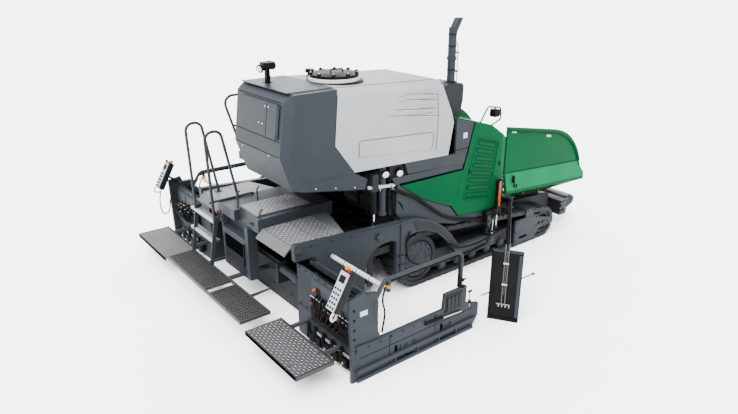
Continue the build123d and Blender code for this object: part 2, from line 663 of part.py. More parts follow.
def tank_door():
    """Access door that lies on the tank's leaning rear face."""
    low, high = rear_line(DOOR_LOW), rear_line(DOOR_HIGH)
    leaf = side_plate([(low - 30, DOOR_LOW), (low - 4, DOOR_LOW), (high - 4, DOOR_HIGH),
                       (high - 30, DOOR_HIGH)], DOOR_HINGE_Y + 18, -240)
    low, high = rear_line(DOOR_LOW + 60), rear_line(DOOR_HIGH - 60)
    leaf += side_plate([(low - 26, DOOR_LOW + 60), (low - 4, DOOR_LOW + 60), (high - 4, DOOR_HIGH - 60),
                        (high - 26, DOOR_HIGH - 60)], DOOR_HINGE_Y, DOOR_HINGE_Y + 20)
    return leaf + door_knuckle(DOOR_LOW + 50 + SEAT_GAP, DOOR_HIGH - 50 - SEAT_GAP, 12)


def tank_cradle():
    """Frame under the tank, from the main frame's rear to the shell's underside."""
    rear, front = FRAME_REAR + 20, FRAME_REAR + 320
    low_start = (1644, 1958)
    shape = block(rear, front, -1220, -220, FRAME_TOP, FRAME_TOP + 90)
    for y in (-1180, -260):
        shape += side_plate([(rear, FRAME_TOP), (front, FRAME_TOP), (front, between(low_start, SHELL_LOW_FRONT, front)),
                             (rear, between(low_start, SHELL_LOW_FRONT, rear))], y - 40, y + 40)
    shape += block(1900, 3250, -1160, -1080, 1780, 1860)
    shape += block(1900, 3250, -320, -240, 1780, 1860)
    shape += block(2100, 2200, -1160, -240, 1780, 1860)
    shape += block(LIFT_X - 50, LIFT_X + 50, -LIFT_Y - 45, -1090, DECK_TOP - DECK_PLATE, 1860)
    return shape


# ================================================================ operator's platform
def operator_deck():
    """Deck plate on the left half, on the compartment below it."""
    low = DECK_TOP - DECK_PLATE
    shape = block(DECK_REAR, DECK_FRONT, DECK_RIGHT, DECK_LEFT, low, DECK_TOP)
    shape += block(FRAME_REAR + 20, DECK_FRONT, DECK_RIGHT, DECK_LEFT, FRAME_TOP, low)
    return shape


def operator_seats():
    """Two seats on their pedestals."""
    seats = []
    for y in (170, 940):
        seat = block(1950, 2060, y - 60, y + 60, DECK_TOP, DECK_TOP + 300)
        seat += block(1760, 2240, y - 220, y + 220, DECK_TOP + 300, DECK_TOP + 400)
        seat += side_plate([(1760, DECK_TOP + 390), (1860, DECK_TOP + 390), (1800, DECK_TOP + 960),
                            (1700, DECK_TOP + 960)], y - 200, y + 200)
        seats.append(seat.solid())
    return Compound(children=seats)


def operator_console():
    """Control desk ahead of the seats."""
    return side_plate([(2750, DECK_TOP), (2950, DECK_TOP), (2950, DECK_TOP + 1000), (2860, DECK_TOP + 1040),
                       (2620, DECK_TOP + 900), (2620, DECK_TOP + 820), (2780, DECK_TOP + 780)], 80, 1060)


def guard_rails():
    """Handrail at the platform's left side, raked at its rear end."""
    y = DECK_LEFT - 40
    foot, top = (DECK_REAR + 60, DECK_TOP + 40), (DECK_REAR - 210, RAIL_TOP)
    rail = pipe([(foot[0], y, DECK_TOP), (foot[0], y, foot[1]), (top[0], y, RAIL_TOP), (DECK_FRONT - 60, y, RAIL_TOP),
                 (DECK_FRONT - 60, y, DECK_TOP)], RAIL_R, 120)
    middle = (foot[1] + RAIL_TOP) / 2
    middle_x = foot[0] + (top[0] - foot[0]) * (middle - foot[1]) / (RAIL_TOP - foot[1])
    rail += rod((middle_x, y, middle), (DECK_FRONT - 60, y, middle), RAIL_R * 0.8)
    for x in (1900, 2600):
        rail += rod((x, y, DECK_TOP), (x, y, RAIL_TOP), RAIL_R)
    return rail


# ================================================================ exhaust and lamps
def exhaust_housing():
    """Faceted slate housing on the hood's rear, under the stack."""
    front_low = (HOUSING_FRONT - 60, between(HOOD_TOP[0], HOOD_TOP[1], HOUSING_FRONT - 60))
    return side_plate([HOOD_TOP[0], (HOOD_REAR - 10, STACK_BASE - 40), (HOOD_REAR + 60, STACK_BASE),
                       (HOUSING_FRONT - 30, STACK_BASE - 25), (HOUSING_FRONT, STACK_BASE - 60),
                       (HOUSING_FRONT, STACK_BASE - 260), front_low], -HOUSING_OUTER, -560)


def exhaust_stack():
    """Tall round stack with a collar and a slant-cut, swept tip."""
    stack = rod((STACK_X, STACK_Y, STACK_BASE - 30), (STACK_X, STACK_Y, STACK_TOP - 120), STACK_R)
    stack += rod((STACK_X, STACK_Y, 3140), (STACK_X, STACK_Y, 3180), STACK_R + 12)
    tip = rod((STACK_X, STACK_Y, STACK_TOP - 190), (STACK_X + 130, STACK_Y, STACK_TOP + 40), STACK_R)
    tip -= block(STACK_X - 300, STACK_X + 500, STACK_Y - 200, STACK_Y + 200, STACK_TOP, STACK_TOP + 300)
    return (stack + tip) - exhaust_housing()


def lamp_mast():
    """Post with two work lamps at the tank's top rear edge."""
    top = TANK_TOP + STEEL
    mast = block(930, 980, -470, -420, top, top + 220)
    mast += block(900, 1010, -520, -370, top + 170, top + 250)
    mast += rod((910, -470, top + 210), (830, -490, top + 185), 45)
    return mast + rod((1000, -400, top + 210), (1080, -380, top + 190), 50)


def hood_lamps():
    """Right-hand work lamp on the hood's edge, inside its tube guard that leans forward."""
    y = -HALF_WIDTH + 85
    foot_z = between(HOOD_TOP[1], HOOD_TOP[2], 4000)
    guard = pipe([(4000, y, foot_z - 5), (4150, y, 2446), (4425, y, 2400), (4450, y, 2225), (4215, y, 2145)], 12, 45)
    roof = side_plate([*HOOD_TOP[1:], (4560, 1880), (3810, 1880)], y - 60, y + 60)
    lamp = block(4255, 4355, y - 40, y + 40, 2285, 2385) + rod((4305, y, 2380), (4305, y, 2420), 10)
    return guard - roof + lamp


# ================================================================ screed
def arm_outline():
    """X-Z outline of a tow arm with its arched cheek, both legs and the draw bar."""
    return [(680, ARM_LOW), (670, 1235), (700, 1250), (2560, 1130), (2680, 1105), (2900, 1030), (3120, 900),
            (3340, 690), (3520, 450), (TOW_X - 80, 450), (TOW_X + 70, 440), (TOW_X + 90, 300), (TOW_X - 80, 270),
            (3480, 270), (3420, 420), (3230, 640), (3040, 800), (2840, 890), (2620, 915), (2450, 890),
            (2420, 300), (2290, 300), (2300, 640), (2290, 860), (2200, 900), (2020, 890), (1880, 830),
            (1790, 720), (1750, 560), (1740, 300), (ARM_FOOT_X, 300), (ARM_FOOT_X, 960), (960, ARM_LOW)]


def tow_arm():
    """Right-hand tow arm, bolted to the end of the basic screed and pinned at the tow point."""
    outer = -ARM_OUTER
    arm = side_plate(arm_outline(), outer, -ARM_INNER)
    arm -= block(ARM_FOLD_X, 2360, outer - 1, outer + ARM_FOLD, 250, 1300)
    arm += block(LIFT_X - 15, LIFT_X + 15, -ARM_INNER, -LIFT_Y + 40, LIFT_PIN_Z - 80, LIFT_PIN_Z - RUNNING_GAP)
    arm -= rod((SCALE_X, outer - 1, SCALE_Z), (SCALE_X, -ARM_INNER + 1, SCALE_Z), SCALE_R + RUNNING_GAP)
    return arm - rod((TOW_X, outer - 1, TOW_Z), (TOW_X, -ARM_INNER + 1, TOW_Z), TOW_PIN_R + SEAT_GAP)


def screed_base():
    """Basic screed: sole, body and the guides of the telescopic tubes."""
    half = ARM_INNER
    shape = side_plate([(SCREED_REAR, 20), (SCREED_REAR + 20, 0), (SCREED_FRONT - 30, 0), (SCREED_FRONT, 30),
                        (SCREED_FRONT, 360), (SCREED_FRONT - 160, SCREED_TOP), (SCREED_REAR, SCREED_TOP)],
                       -half, half)
    for side, z in ((-1, TUBE_Z["right"]), (1, TUBE_Z["left"])):
        for reach in (650, 1150):
            guide = sorted((side * reach, side * (reach + 60)))
            shape += block(EXT_REAR + EXT_WALL + 10, GUIDE_FRONT, *guide, GUIDE_LOW, z + 75)
            shape += block(GUIDE_FRONT - 1, SCREED_REAR + 60, *guide, GUIDE_LOW, GUIDE_FOOT)
        shape -= rod((TUBE_X, side * 600, z), (TUBE_X, side * 1300, z), TUBE_R + SEAT_GAP)
    return shape


def walk_gratings():
    """Two bar gratings behind the basic screed, on one narrow bracket at mid width."""
    low = GRATING_TOP - 42
    shape = None
    for y0, y1 in ((-1150, -240), (-100, 1160)):
        grate = block(0, GRATING_DEPTH, y0, y1, low, GRATING_TOP)
        grate -= block(25, GRATING_DEPTH - 25, y0 + 25, y1 - 25, low - 1, GRATING_TOP + 1)
        for index in range(11):
            x = 25 + (index + 0.5) * (GRATING_DEPTH - 50) / 11
            grate += block(x - 6, x + 6, y0 + 20, y1 - 20, low, GRATING_TOP)
        shape = grate if shape is None else shape + grate
    shape += block(0, 25, -241, -99, low, GRATING_TOP)
    shape += block(GRATING_DEPTH - 25, GRATING_DEPTH, -241, -99, low, GRATING_TOP)
    for y in (-640, 620):
        shape += side_plate([(GRATING_DEPTH - 60, low), (GRATING_DEPTH + 20, low), (BODY_FRONT - 30, low + 30),
                             (BODY_FRONT - 30, GRATING_TOP), (GRATING_DEPTH - 60, GRATING_TOP)], y, y + 20)
    return shape + block(GRATING_DEPTH - 5, SCREED_REAR, -30, 30, low, GRATING_TOP)


def screed_treads():
    """Chequer-plate treads over the screed: one at each side, bent down at its rear, and a raised middle one."""
    low = TREAD_Z - 20
    plan = [(700, -ARM_INNER), (1460, -ARM_INNER), (1710, -BEAM_OUTER), (700, -BEAM_OUTER)]
    side = floor_plate(plan, low, TREAD_Z)
    side += side_plate([(705, low), (700, TREAD_Z), (600, 1110), (600, 1090)], -ARM_INNER + 40, -BEAM_OUTER)
    middle = block(MID_REAR, MID_FRONT, -BEAM_INNER, WELL_RIGHT, MID_TREAD_Z - 12, MID_TREAD_Z)
    return Compound(children=[side.solid(), mirrored(side).solid(), middle.solid()])


def tread_beams():
    """Beams that tie the arms together over the screed, with the step well at mid width."""
    low = TREAD_Z - 60
    front = 1800
    right = block(640, front, -BEAM_OUTER, -BEAM_INNER, low, BEAM_TOP + 40)
    left = block(BODY_REAR, front, WELL_RIGHT, BEAM_OUTER, low, BEAM_TOP)
    shape = right + left
    shape += block(MID_REAR, front, -BEAM_INNER - 1, WELL_RIGHT + 1, low, MID_TREAD_Z - 12)
    for y0, y1 in ((-ARM_INNER, -BEAM_OUTER + 1), (BEAM_OUTER - 1, ARM_INNER)):
        shape += block(1250, 1350, y0, y1, low, TREAD_Z - 20)
        shape += block(720, 760, y0, y1, low, TREAD_Z - 20)
    shape += block(BODY_REAR, BODY_FRONT, -BODY_RIGHT - 40, -BODY_RIGHT + 40, GRATING_TOP, low + 1)
    shape += block(640, BODY_FRONT, -BEAM_OUTER, -BODY_RIGHT, low, low + 60)
    shape += block(BODY_REAR, BODY_REAR + 40, -BODY_RIGHT, BODY_LEFT, GRATING_TOP, LEDGE_Z)
    shape += block(BODY_REAR, BODY_FRONT, -BODY_RIGHT, BODY_LEFT, LEDGE_Z - 20, LEDGE_Z)
    shape += block(BODY_FRONT - 20, BODY_FRONT, -BODY_RIGHT, BODY_LEFT, LEDGE_Z - 1, low + 1)
    shape += block(BODY_REAR, BODY_FRONT, BODY_LEFT - 30, BODY_LEFT, GRATING_TOP, low + 1)
    return shape - block(BODY_REAR - 1, BODY_REAR + 30, -BODY_RIGHT + 110, BODY_LEFT - 60, 640, 860)


def screed_curtain():
    """Black shield under the treads, ahead of the space that takes the drawn-in extensions."""
    x0, x1 = EXT_FRONT + 9, EXT_FRONT + 19
    half = ARM_INNER - 40
    shape = block(x0, x1, -half, half, GUIDE_FOOT + 2, TREAD_Z - 60)
    for side in (-1, 1):
        upper = sorted((side * half, side * (BEAM_OUTER + 2)))
        shape += block(x0, x1, *upper, TREAD_Z - 61, TREAD_Z - 20)
    return shape


def access_steps():
    """Two steps from the walkway to the left tread, with a tall hoop handrail on each side."""
    shape = None
    for y, foot in ((STEP_RIGHT, BEAM_TOP), (STEP_LEFT, TREAD_Z)):
        cheek = side_plate([(380, GRATING_TOP), (430, GRATING_TOP), (545, 990), (590, 1040), (590, 1080),
                            (560, 1085), (490, 1050)], y - 10, y + 10)
        cheek += pipe([(505, y, 1010), (470, y, 2290), (700, y, 2290), (880, y, foot + 50), (880, y, foot)], 20, 110)
        shape = cheek if shape is None else shape + cheek
    for z, x in ((690, 450), (990, 480)):
        shape += block(x, x + 110, STEP_RIGHT - 8, ARM_INNER - 30, z, z + 30)
    return shape


# ================================================================ screed extensions, built right-handed
def extension_frame(tube_z):
    """Screed extension: sole, rear wall, open tray, front rail, outer wall and telescopic tube."""
    inner, outer = -HALF_WIDTH + 15, -PAVE_HALF
    wall = outer + 60
    shape = side_plate([(EXT_REAR - 10, 20), (EXT_REAR + 10, 0), (EXT_FRONT - 20, 0), (EXT_FRONT, 20),
                        (EXT_FRONT, EXT_SOLE_TOP), (EXT_REAR - 10, EXT_SOLE_TOP)], outer, inner)
    shape += block(EXT_REAR, EXT_REAR + EXT_WALL, outer, inner, EXT_SOLE_TOP - 5, EXT_TOP)
    shape += block(EXT_REAR, EXT_FRONT, outer, inner, EXT_TRAY - 14, EXT_TRAY)
    shape += block(EXT_FRONT - 35, EXT_FRONT, outer, inner, GUIDE_FOOT + 15, EXT_TOP)
    shape += block(EXT_REAR, EXT_FRONT, outer, wall, EXT_SOLE_TOP - 5, EXT_TOP + 50)
    return shape + rod((TUBE_X, wall - 5, tube_z), (TUBE_X, -620, tube_z), TUBE_R)


def walkway_plate():
    """Walkway plate, folded down at its rear and outer edges, on two arms."""
    inner, outer = -HALF_WIDTH + 15, -WALK_OUTER
    low = WALK_TOP - 8
    shape = block(0, WALK_DEPTH, outer, inner, low, WALK_TOP)
    shape += block(0, 8, outer, inner, WALK_TOP - 50, WALK_TOP)
    shape += block(0, WALK_DEPTH, outer, outer + 8, WALK_TOP - 50, WALK_TOP)
    for y in (outer + 200, inner - 240):
        shape += block(4, EXT_REAR - 10, y, y + 40, WALK_TOP - 50, low + 1)
    return shape


def end_plate():
    """End plate: skid, beam, tapered plate, tower and nose, with the tube hoop and the width scale inside it."""
    outer, inner = -WIDE_HALF, -PAVE_HALF
    shape = side_plate([(END_REAR, 0), (END_FRONT - 105, 0), (END_FRONT, 150), (END_FRONT, 330),
                        (TOWER_FRONT, 400), (TOWER_FRONT, TOWER_TOP), (TOWER_REAR, TOWER_TOP), (TOWER_REAR - 20, 450),
                        (1050, 450), (830, 1095), (620, 1060), (END_REAR, 200)], outer + 30, inner)
    shape += block(END_REAR + 60, END_FRONT - 110, outer, outer + 31, 0, 40)
    y = inner + 34
    shape += pipe([(EXT_FRONT + 30, y, 895), (1160, y, HOOP_TOP), (HOOP_FRONT, y, HOOP_TOP), (HOOP_FRONT, y, 520)],
                  24, 110)
    shape += block(EXT_FRONT + 1, EXT_FRONT + 60, inner - 5, y + 20, 830, 900)
    shape += block(SCALE_X - 20, SCALE_X + 20, y - 14, y + 14, SCALE_Z - 20, HOOP_TOP)
    shape += rod((SCALE_X, y, SCALE_Z), (SCALE_X, -ARM_INNER - 20, SCALE_Z), SCALE_R)
    return shape + block(HOOP_FRONT - 45, HOOP_FRONT + 35, inner - 5, y + 20, 480, 530)


def control_console():
    """Outside control box, leaning forward on its short post."""
    y = -PAVE_HALF + 25
    box = side_plate([(420, 985), (490, 955), (700, 1340), (630, 1375)], y - 35, y + 35)
    post = rod((EXT_REAR + 30, y, EXT_TOP + 40), (600, y, 1160), 18)
    return box + post - block(EXT_REAR, EXT_FRONT, y - 50, y + 50, EXT_TOP, EXT_TOP + 50)


# ================================================================ tow points and cylinders
def tow_point():
    """Right-hand tow pin on the roller frame, and the levelling cylinder with its bracket over it."""
    pin = rod((TOW_X, -HALF_WIDTH + 60, TOW_Z), (TOW_X, -ARM_OUTER - 20, TOW_Z), TOW_PIN_R)
    y = -HALF_WIDTH - 50
    shape = block(TOW_X - 120, TOW_X - 40, y - 40, y + 40, 500, 860)
    shape += block(TOW_X - 120, LEVEL_X + 40, y - 40, -HALF_WIDTH, 800, 860)
    shape += rod((LEVEL_X, y - 5, 750), (LEVEL_X, y - 5, 1310), 34)
    return Compound(children=[pin.solid(), shape.solid()])


def lift_barrel():
    """Right-hand barrel of the screed lift."""
    top = DECK_TOP - DECK_PLATE
    barrel = rod((LIFT_X, -LIFT_Y, LIFT_LOW_Z), (LIFT_X, -LIFT_Y, top), 40)
    return barrel - rod((LIFT_X, -LIFT_Y, LIFT_LOW_Z - 1), (LIFT_X, -LIFT_Y, top - 20), 22 + SEAT_GAP)


def lift_rod():
    """Right-hand piston rod of the screed lift."""
    return rod((LIFT_X, -LIFT_Y, LIFT_PIN_Z), (LIFT_X, -LIFT_Y, LIFT_LOW_Z + 40), 22)


# ================================================================ augers
def auger():
    """Right-hand auger: shaft with a screw flight of half-turn blades."""
    start, end = -110 - SEAT_GAP, -1250 + SEAT_GAP
    shape = rod((AUGER_X, start, AUGER_Z), (AUGER_X, end, AUGER_Z), 45)
    blades = int((start - end - 140) / (AUGER_PITCH / 2)) + 1
    for index in range(blades):
        y = start - 80 - index * AUGER_PITCH / 2
        lean = 18 if index % 2 else -18
        shape += Pos(AUGER_X, y, AUGER_Z) * Rot(90 + lean, 0, 0) * Cylinder(AUGER_R, 14)
    return shape


def auger_frame():
    """Cross beam behind the tractor, the middle drive case and the outer hangers."""
    half = 1265
    shape = block(AUGER_X - 60, FRAME_REAR, -half, half, 700, 800)
    shape += block(AUGER_X - 70, AUGER_X + 70, -110, 110, AUGER_Z - 90, 705)
    for side in (-1, 1):
        hanger = sorted((side * 1250, side * half))
        shape += block(AUGER_X - 50, AUGER_X + 50, *hanger, AUGER_Z - 60, 705)
    return shape


# ================================================================ spray boards
def spray_board():
    """Right-hand swing arm with its upright splash board, turned outboard."""
    board = block(-12, 12, -BOARD_WIDTH / 2, BOARD_WIDTH / 2, 10, BOARD_HEIGHT)
    board += block(-30, 30, -BOARD_WIDTH / 2, BOARD_WIDTH / 2, 0, 30)
    shape = Pos(BOARD_X, -BOARD_Y, 0) * Rot(0, 0, 90 - BOARD_ANGLE) * board
    shape += rod((BOARD_X, -BOARD_Y, BOARD_ARM_Z), (BOARD_PIVOT_X, -BOARD_PIVOT_Y, BOARD_ARM_Z), 30)
    return shape + rod((BOARD_PIVOT_X, -BOARD_PIVOT_Y, BOARD_LOW_EAR + 20 + SEAT_GAP),
                       (BOARD_PIVOT_X, -BOARD_PIVOT_Y, BOARD_HIGH_EAR - SEAT_GAP), 40)


def spray_mount():
    """Right-hand fork on the flank that holds the spray board's upright pivot."""
    front = WING_BACK - 2 * RUNNING_GAP
    shape = None
    for z in (BOARD_LOW_EAR, BOARD_HIGH_EAR):
        ear = floor_plate([(4420, -HALF_WIDTH), (4540, -HALF_WIDTH), (front, -BOARD_PIVOT_Y + 60),
                           (front, -BOARD_PIVOT_Y - 50), (4500, -BOARD_PIVOT_Y - 50)], z, z + 20)
        shape = ear if shape is None else shape + ear
    return shape


NODES = {
    "main_frame": main_frame,
    "engine_block": engine,
    "hopper_floor": hopper_floor,
    "hopper_rear_wall": rear_wall,
    "conveyor_slats": conveyor_slats,
    "hopper_apron": hopper_apron,
    "push_beam": push_beam,
    "engine_hood": engine_hood,
    "tank_body": tank_body,
    "tank_shell": tank_shell,
    "tank_deck": tank_deck,
    "tank_lid": tank_lid,
    "tank_door": tank_door,
    "tank_cradle": tank_cradle,
    "operator_deck": operator_deck,
    "operator_seats": operator_seats,
    "operator_console": operator_console,
    "guard_rails": guard_rails,
    "exhaust_housing": exhaust_housing,
    "exhaust_stack": exhaust_stack,
    "lamp_mast": lamp_mast,
    "auger_frame": auger_frame,
    "screed_base": screed_base,
    "walk_gratings": walk_gratings,
    "screed_treads": screed_treads,
    "tread_beams": tread_beams,
    "screed_curtain": screed_curtain,
    "access_steps": access_steps,
}
PAIRED = {
    "grey_side_panels": grey_side_panels,
    "green_side_panels": green_side_panel,
    "hood_lamps": hood_lamps,
    "tow_points": tow_point,
    "tracks": track,
    "track_frames": track_frame,
    "track_guards": track_guard,
    "tow_arms": tow_arm,
    "lift_barrels": lift_barrel,
    "lift_rods": lift_rod,
    "spray_mounts": spray_mount,
}
SIDED = {
    "hopper_wing": hopper_wing,
    "push_roller": push_roller,
    "auger": auger,
    "spray_board": spray_board,
    "end_plate": end_plate,
    "walkway_plate": walkway_plate,
    "control_console": control_console,
}

for name, build in NODES.items():
    node(name, build())
for name, build in PAIRED.items():
    node(name, pair(build()))
for name, build in SIDED.items():
    both_sides(name, build())
node("extension_frame_right", extension_frame(TUBE_Z["right"]))
node("extension_frame_left", mirrored(extension_frame(TUBE_Z["left"])))
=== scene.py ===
"""Looks of a crawler asphalt paver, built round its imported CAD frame.

Places are in millimetres: the station ahead of the rear edge of the screed walkway, the side, where left is
positive, and the height over the ground.
"""

import logging
import math
from dataclasses import dataclass
from enum import Enum
from typing import Iterable, Sequence

import bmesh
import bpy
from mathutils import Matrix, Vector

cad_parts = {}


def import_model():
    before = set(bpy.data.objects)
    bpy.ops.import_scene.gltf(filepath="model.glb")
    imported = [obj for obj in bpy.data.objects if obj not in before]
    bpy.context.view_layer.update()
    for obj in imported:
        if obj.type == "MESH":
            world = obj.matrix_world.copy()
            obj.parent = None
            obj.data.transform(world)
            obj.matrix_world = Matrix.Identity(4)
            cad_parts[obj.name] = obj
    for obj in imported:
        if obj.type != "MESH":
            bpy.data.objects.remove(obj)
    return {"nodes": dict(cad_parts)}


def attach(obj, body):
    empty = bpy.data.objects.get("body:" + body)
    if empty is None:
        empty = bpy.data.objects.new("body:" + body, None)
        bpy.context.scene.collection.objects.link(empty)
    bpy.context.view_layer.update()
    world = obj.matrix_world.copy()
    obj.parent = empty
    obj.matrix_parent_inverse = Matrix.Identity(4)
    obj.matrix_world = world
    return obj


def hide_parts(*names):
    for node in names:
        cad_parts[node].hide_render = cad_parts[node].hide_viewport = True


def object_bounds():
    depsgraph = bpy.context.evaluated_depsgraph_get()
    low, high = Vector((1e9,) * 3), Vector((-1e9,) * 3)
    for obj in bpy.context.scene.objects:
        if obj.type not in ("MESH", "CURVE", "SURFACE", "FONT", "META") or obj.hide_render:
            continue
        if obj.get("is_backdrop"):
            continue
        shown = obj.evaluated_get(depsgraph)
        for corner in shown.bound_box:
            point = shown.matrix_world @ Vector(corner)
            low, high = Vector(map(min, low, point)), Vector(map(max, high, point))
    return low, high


LOG = logging.getLogger("paver")
Point = tuple[float, float, float]
Colour = tuple[float, float, float]
Outline = Sequence[tuple[float, float]]

MM = 0.001                      # metres in a millimetre
ORIGIN_STATION = 3387.5         # millimetres from the walkway's rear edge to the frame's origin
CORNER_SHARE = 0.48             # most of a straight that one rounded corner takes
SHARP_ANGLE = math.radians(34)  # edges sharper than this aren't shaded smooth
BEVEL_ANGLE = math.radians(40)  # edges sharper than this are softened
RIGHT, UP, BACK = (0, -1, 0), (0, 0, 1), (-1, 0, 0)
SIDES = (("right", -1), ("left", 1))


# ---------------------------------------------------------------- node shorthand
class Graph:
    """Small helper round a material's node tree."""

    def __init__(self, name: str) -> None:
        """Start an empty material.

        Args:
            name: name of the material.
        """
        self.material = bpy.data.materials.new(name)
        self.material.use_nodes = True
        self.tree = self.material.node_tree
        self.tree.nodes.clear()
        self.output = self.tree.nodes.new("ShaderNodeOutputMaterial")
        self.shader = self.tree.nodes.new("ShaderNodeBsdfPrincipled")
        self.tree.links.new(self.shader.outputs["BSDF"], self.output.inputs["Surface"])
        self.place = self.tree.nodes.new("ShaderNodeTexCoord").outputs["Object"]

    def add(self, kind: str, **values: object) -> bpy.types.Node:
        """Add a node and set its plain properties.

        Args:
            kind: the node's type name.
            **values: properties set on the node itself.

        Returns:
            The new node.
        """
        made = self.tree.nodes.new(kind)
        for key, value in values.items():
            setattr(made, key, value)
        return made

    def link(self, source: bpy.types.NodeSocket, target: bpy.types.NodeSocket) -> None:
        """Join two sockets."""
        self.tree.links.new(source, target)

    def noise(self, scale: float, detail: float = 4.0, stretch: Point = (1, 1, 1)) -> bpy.types.NodeSocket:
        """Noise over the piece, in metres.

        Args:
            scale: waves per metre.
            detail: octaves.
            stretch: scale of each axis.

        Returns:
            The noise's factor socket.
        """
        mapping = self.add("ShaderNodeMapping")
        mapping.inputs["Scale"].default_value = stretch
        self.link(self.place, mapping.inputs["Vector"])
        noise = self.add("ShaderNodeTexNoise")
        noise.inputs["Scale"].default_value = scale
        noise.inputs["Detail"].default_value = detail
        self.link(mapping.outputs["Vector"], noise.inputs["Vector"])
        return noise.outputs["Fac"]

    def ramp(self, source: bpy.types.NodeSocket, low: float, high: float) -> bpy.types.NodeSocket:
        """Stretch a factor so that low becomes 0 and high becomes 1.

        Args:
            source: the factor.
            low: value that turns into 0.
            high: value that turns into 1.

        Returns:
            The stretched factor.
        """
        span = self.add("ShaderNodeMapRange")
        span.inputs["From Min"].default_value = low
        span.inputs["From Max"].default_value = high
        self.link(source, span.inputs["Value"])
        return span.outputs["Result"]

    def math(self, operation: str, first: bpy.types.NodeSocket, second: "bpy.types.NodeSocket | float",
             third: float = 0.5) -> bpy.types.NodeSocket:
        """Arithmetic on a factor.

        Args:
            operation: Blender's name of the operation.
            first: first operand.
            second: second operand, a socket or a number.
            third: number that MULTIPLY_ADD adds.

        Returns:
            The result.
        """
        sums = self.add("ShaderNodeMath", operation=operation)
        self.link(first, sums.inputs[0])
        if isinstance(second, (int, float)):
            sums.inputs[1].default_value = second
        else:
            self.link(second, sums.inputs[1])
        sums.inputs[2].default_value = third
        return sums.outputs[0]

    def mix(self, factor: bpy.types.NodeSocket, first: "bpy.types.NodeSocket | Colour",
            second: "bpy.types.NodeSocket | Colour") -> bpy.types.NodeSocket:
        """Mix two colours by a factor.

        Args:
            factor: 0 gives the first colour, 1 the second.
            first: colour or socket.
            second: colour or socket.

        Returns:
            The mixed colour.
        """
        node = self.add("ShaderNodeMix", data_type="RGBA")
        self.link(factor, node.inputs["Factor"])
        for name, value in (("A", first), ("B", second)):
            target = next(s for s in node.inputs if s.name == name and s.type == "RGBA")
            if isinstance(value, tuple):
                target.default_value = (*value, 1.0)
            else:
                self.link(value, target)
        return next(s for s in node.outputs if s.type == "RGBA")

    def bump(self, height: bpy.types.NodeSocket, strength: float, distance: float) -> None:
        """Raise the surface by a height.

        Args:
            height: the height, 0 to 1.
            strength: share of the effect.
            distance: metres for a height of 1.
        """
        node = self.add("ShaderNodeBump")
        node.inputs["Strength"].default_value = strength
        node.inputs["Distance"].default_value = distance
        self.link(height, node.inputs["Height"])
        self.link(node.outputs["Normal"], self.shader.inputs["Normal"])

    def edges(self, radius: float) -> bpy.types.NodeSocket:
        """Mask that is 1 on sharp edges.

        Args:
            radius: width of the worn strip in metres.

        Returns:
            The mask.
        """
        bevel = self.add("ShaderNodeBevel", samples=4)
        bevel.inputs["Radius"].default_value = radius
        normal = self.add("ShaderNodeNewGeometry").outputs["Normal"]
        dot = self.add("ShaderNodeVectorMath", operation="DOT_PRODUCT")
        self.link(bevel.outputs["Normal"], dot.inputs[0])
        self.link(normal, dot.inputs[1])
        return self.ramp(dot.outputs["Value"], 0.97, 0.80)


class Grain(Enum):
    """Surface grain of a finish."""

    SMOOTH = "smooth"
    ORANGE_PEEL = "orange peel"
    CAST = "cast"
    BRUSHED = "brushed"
    RUBBER = "rubber"


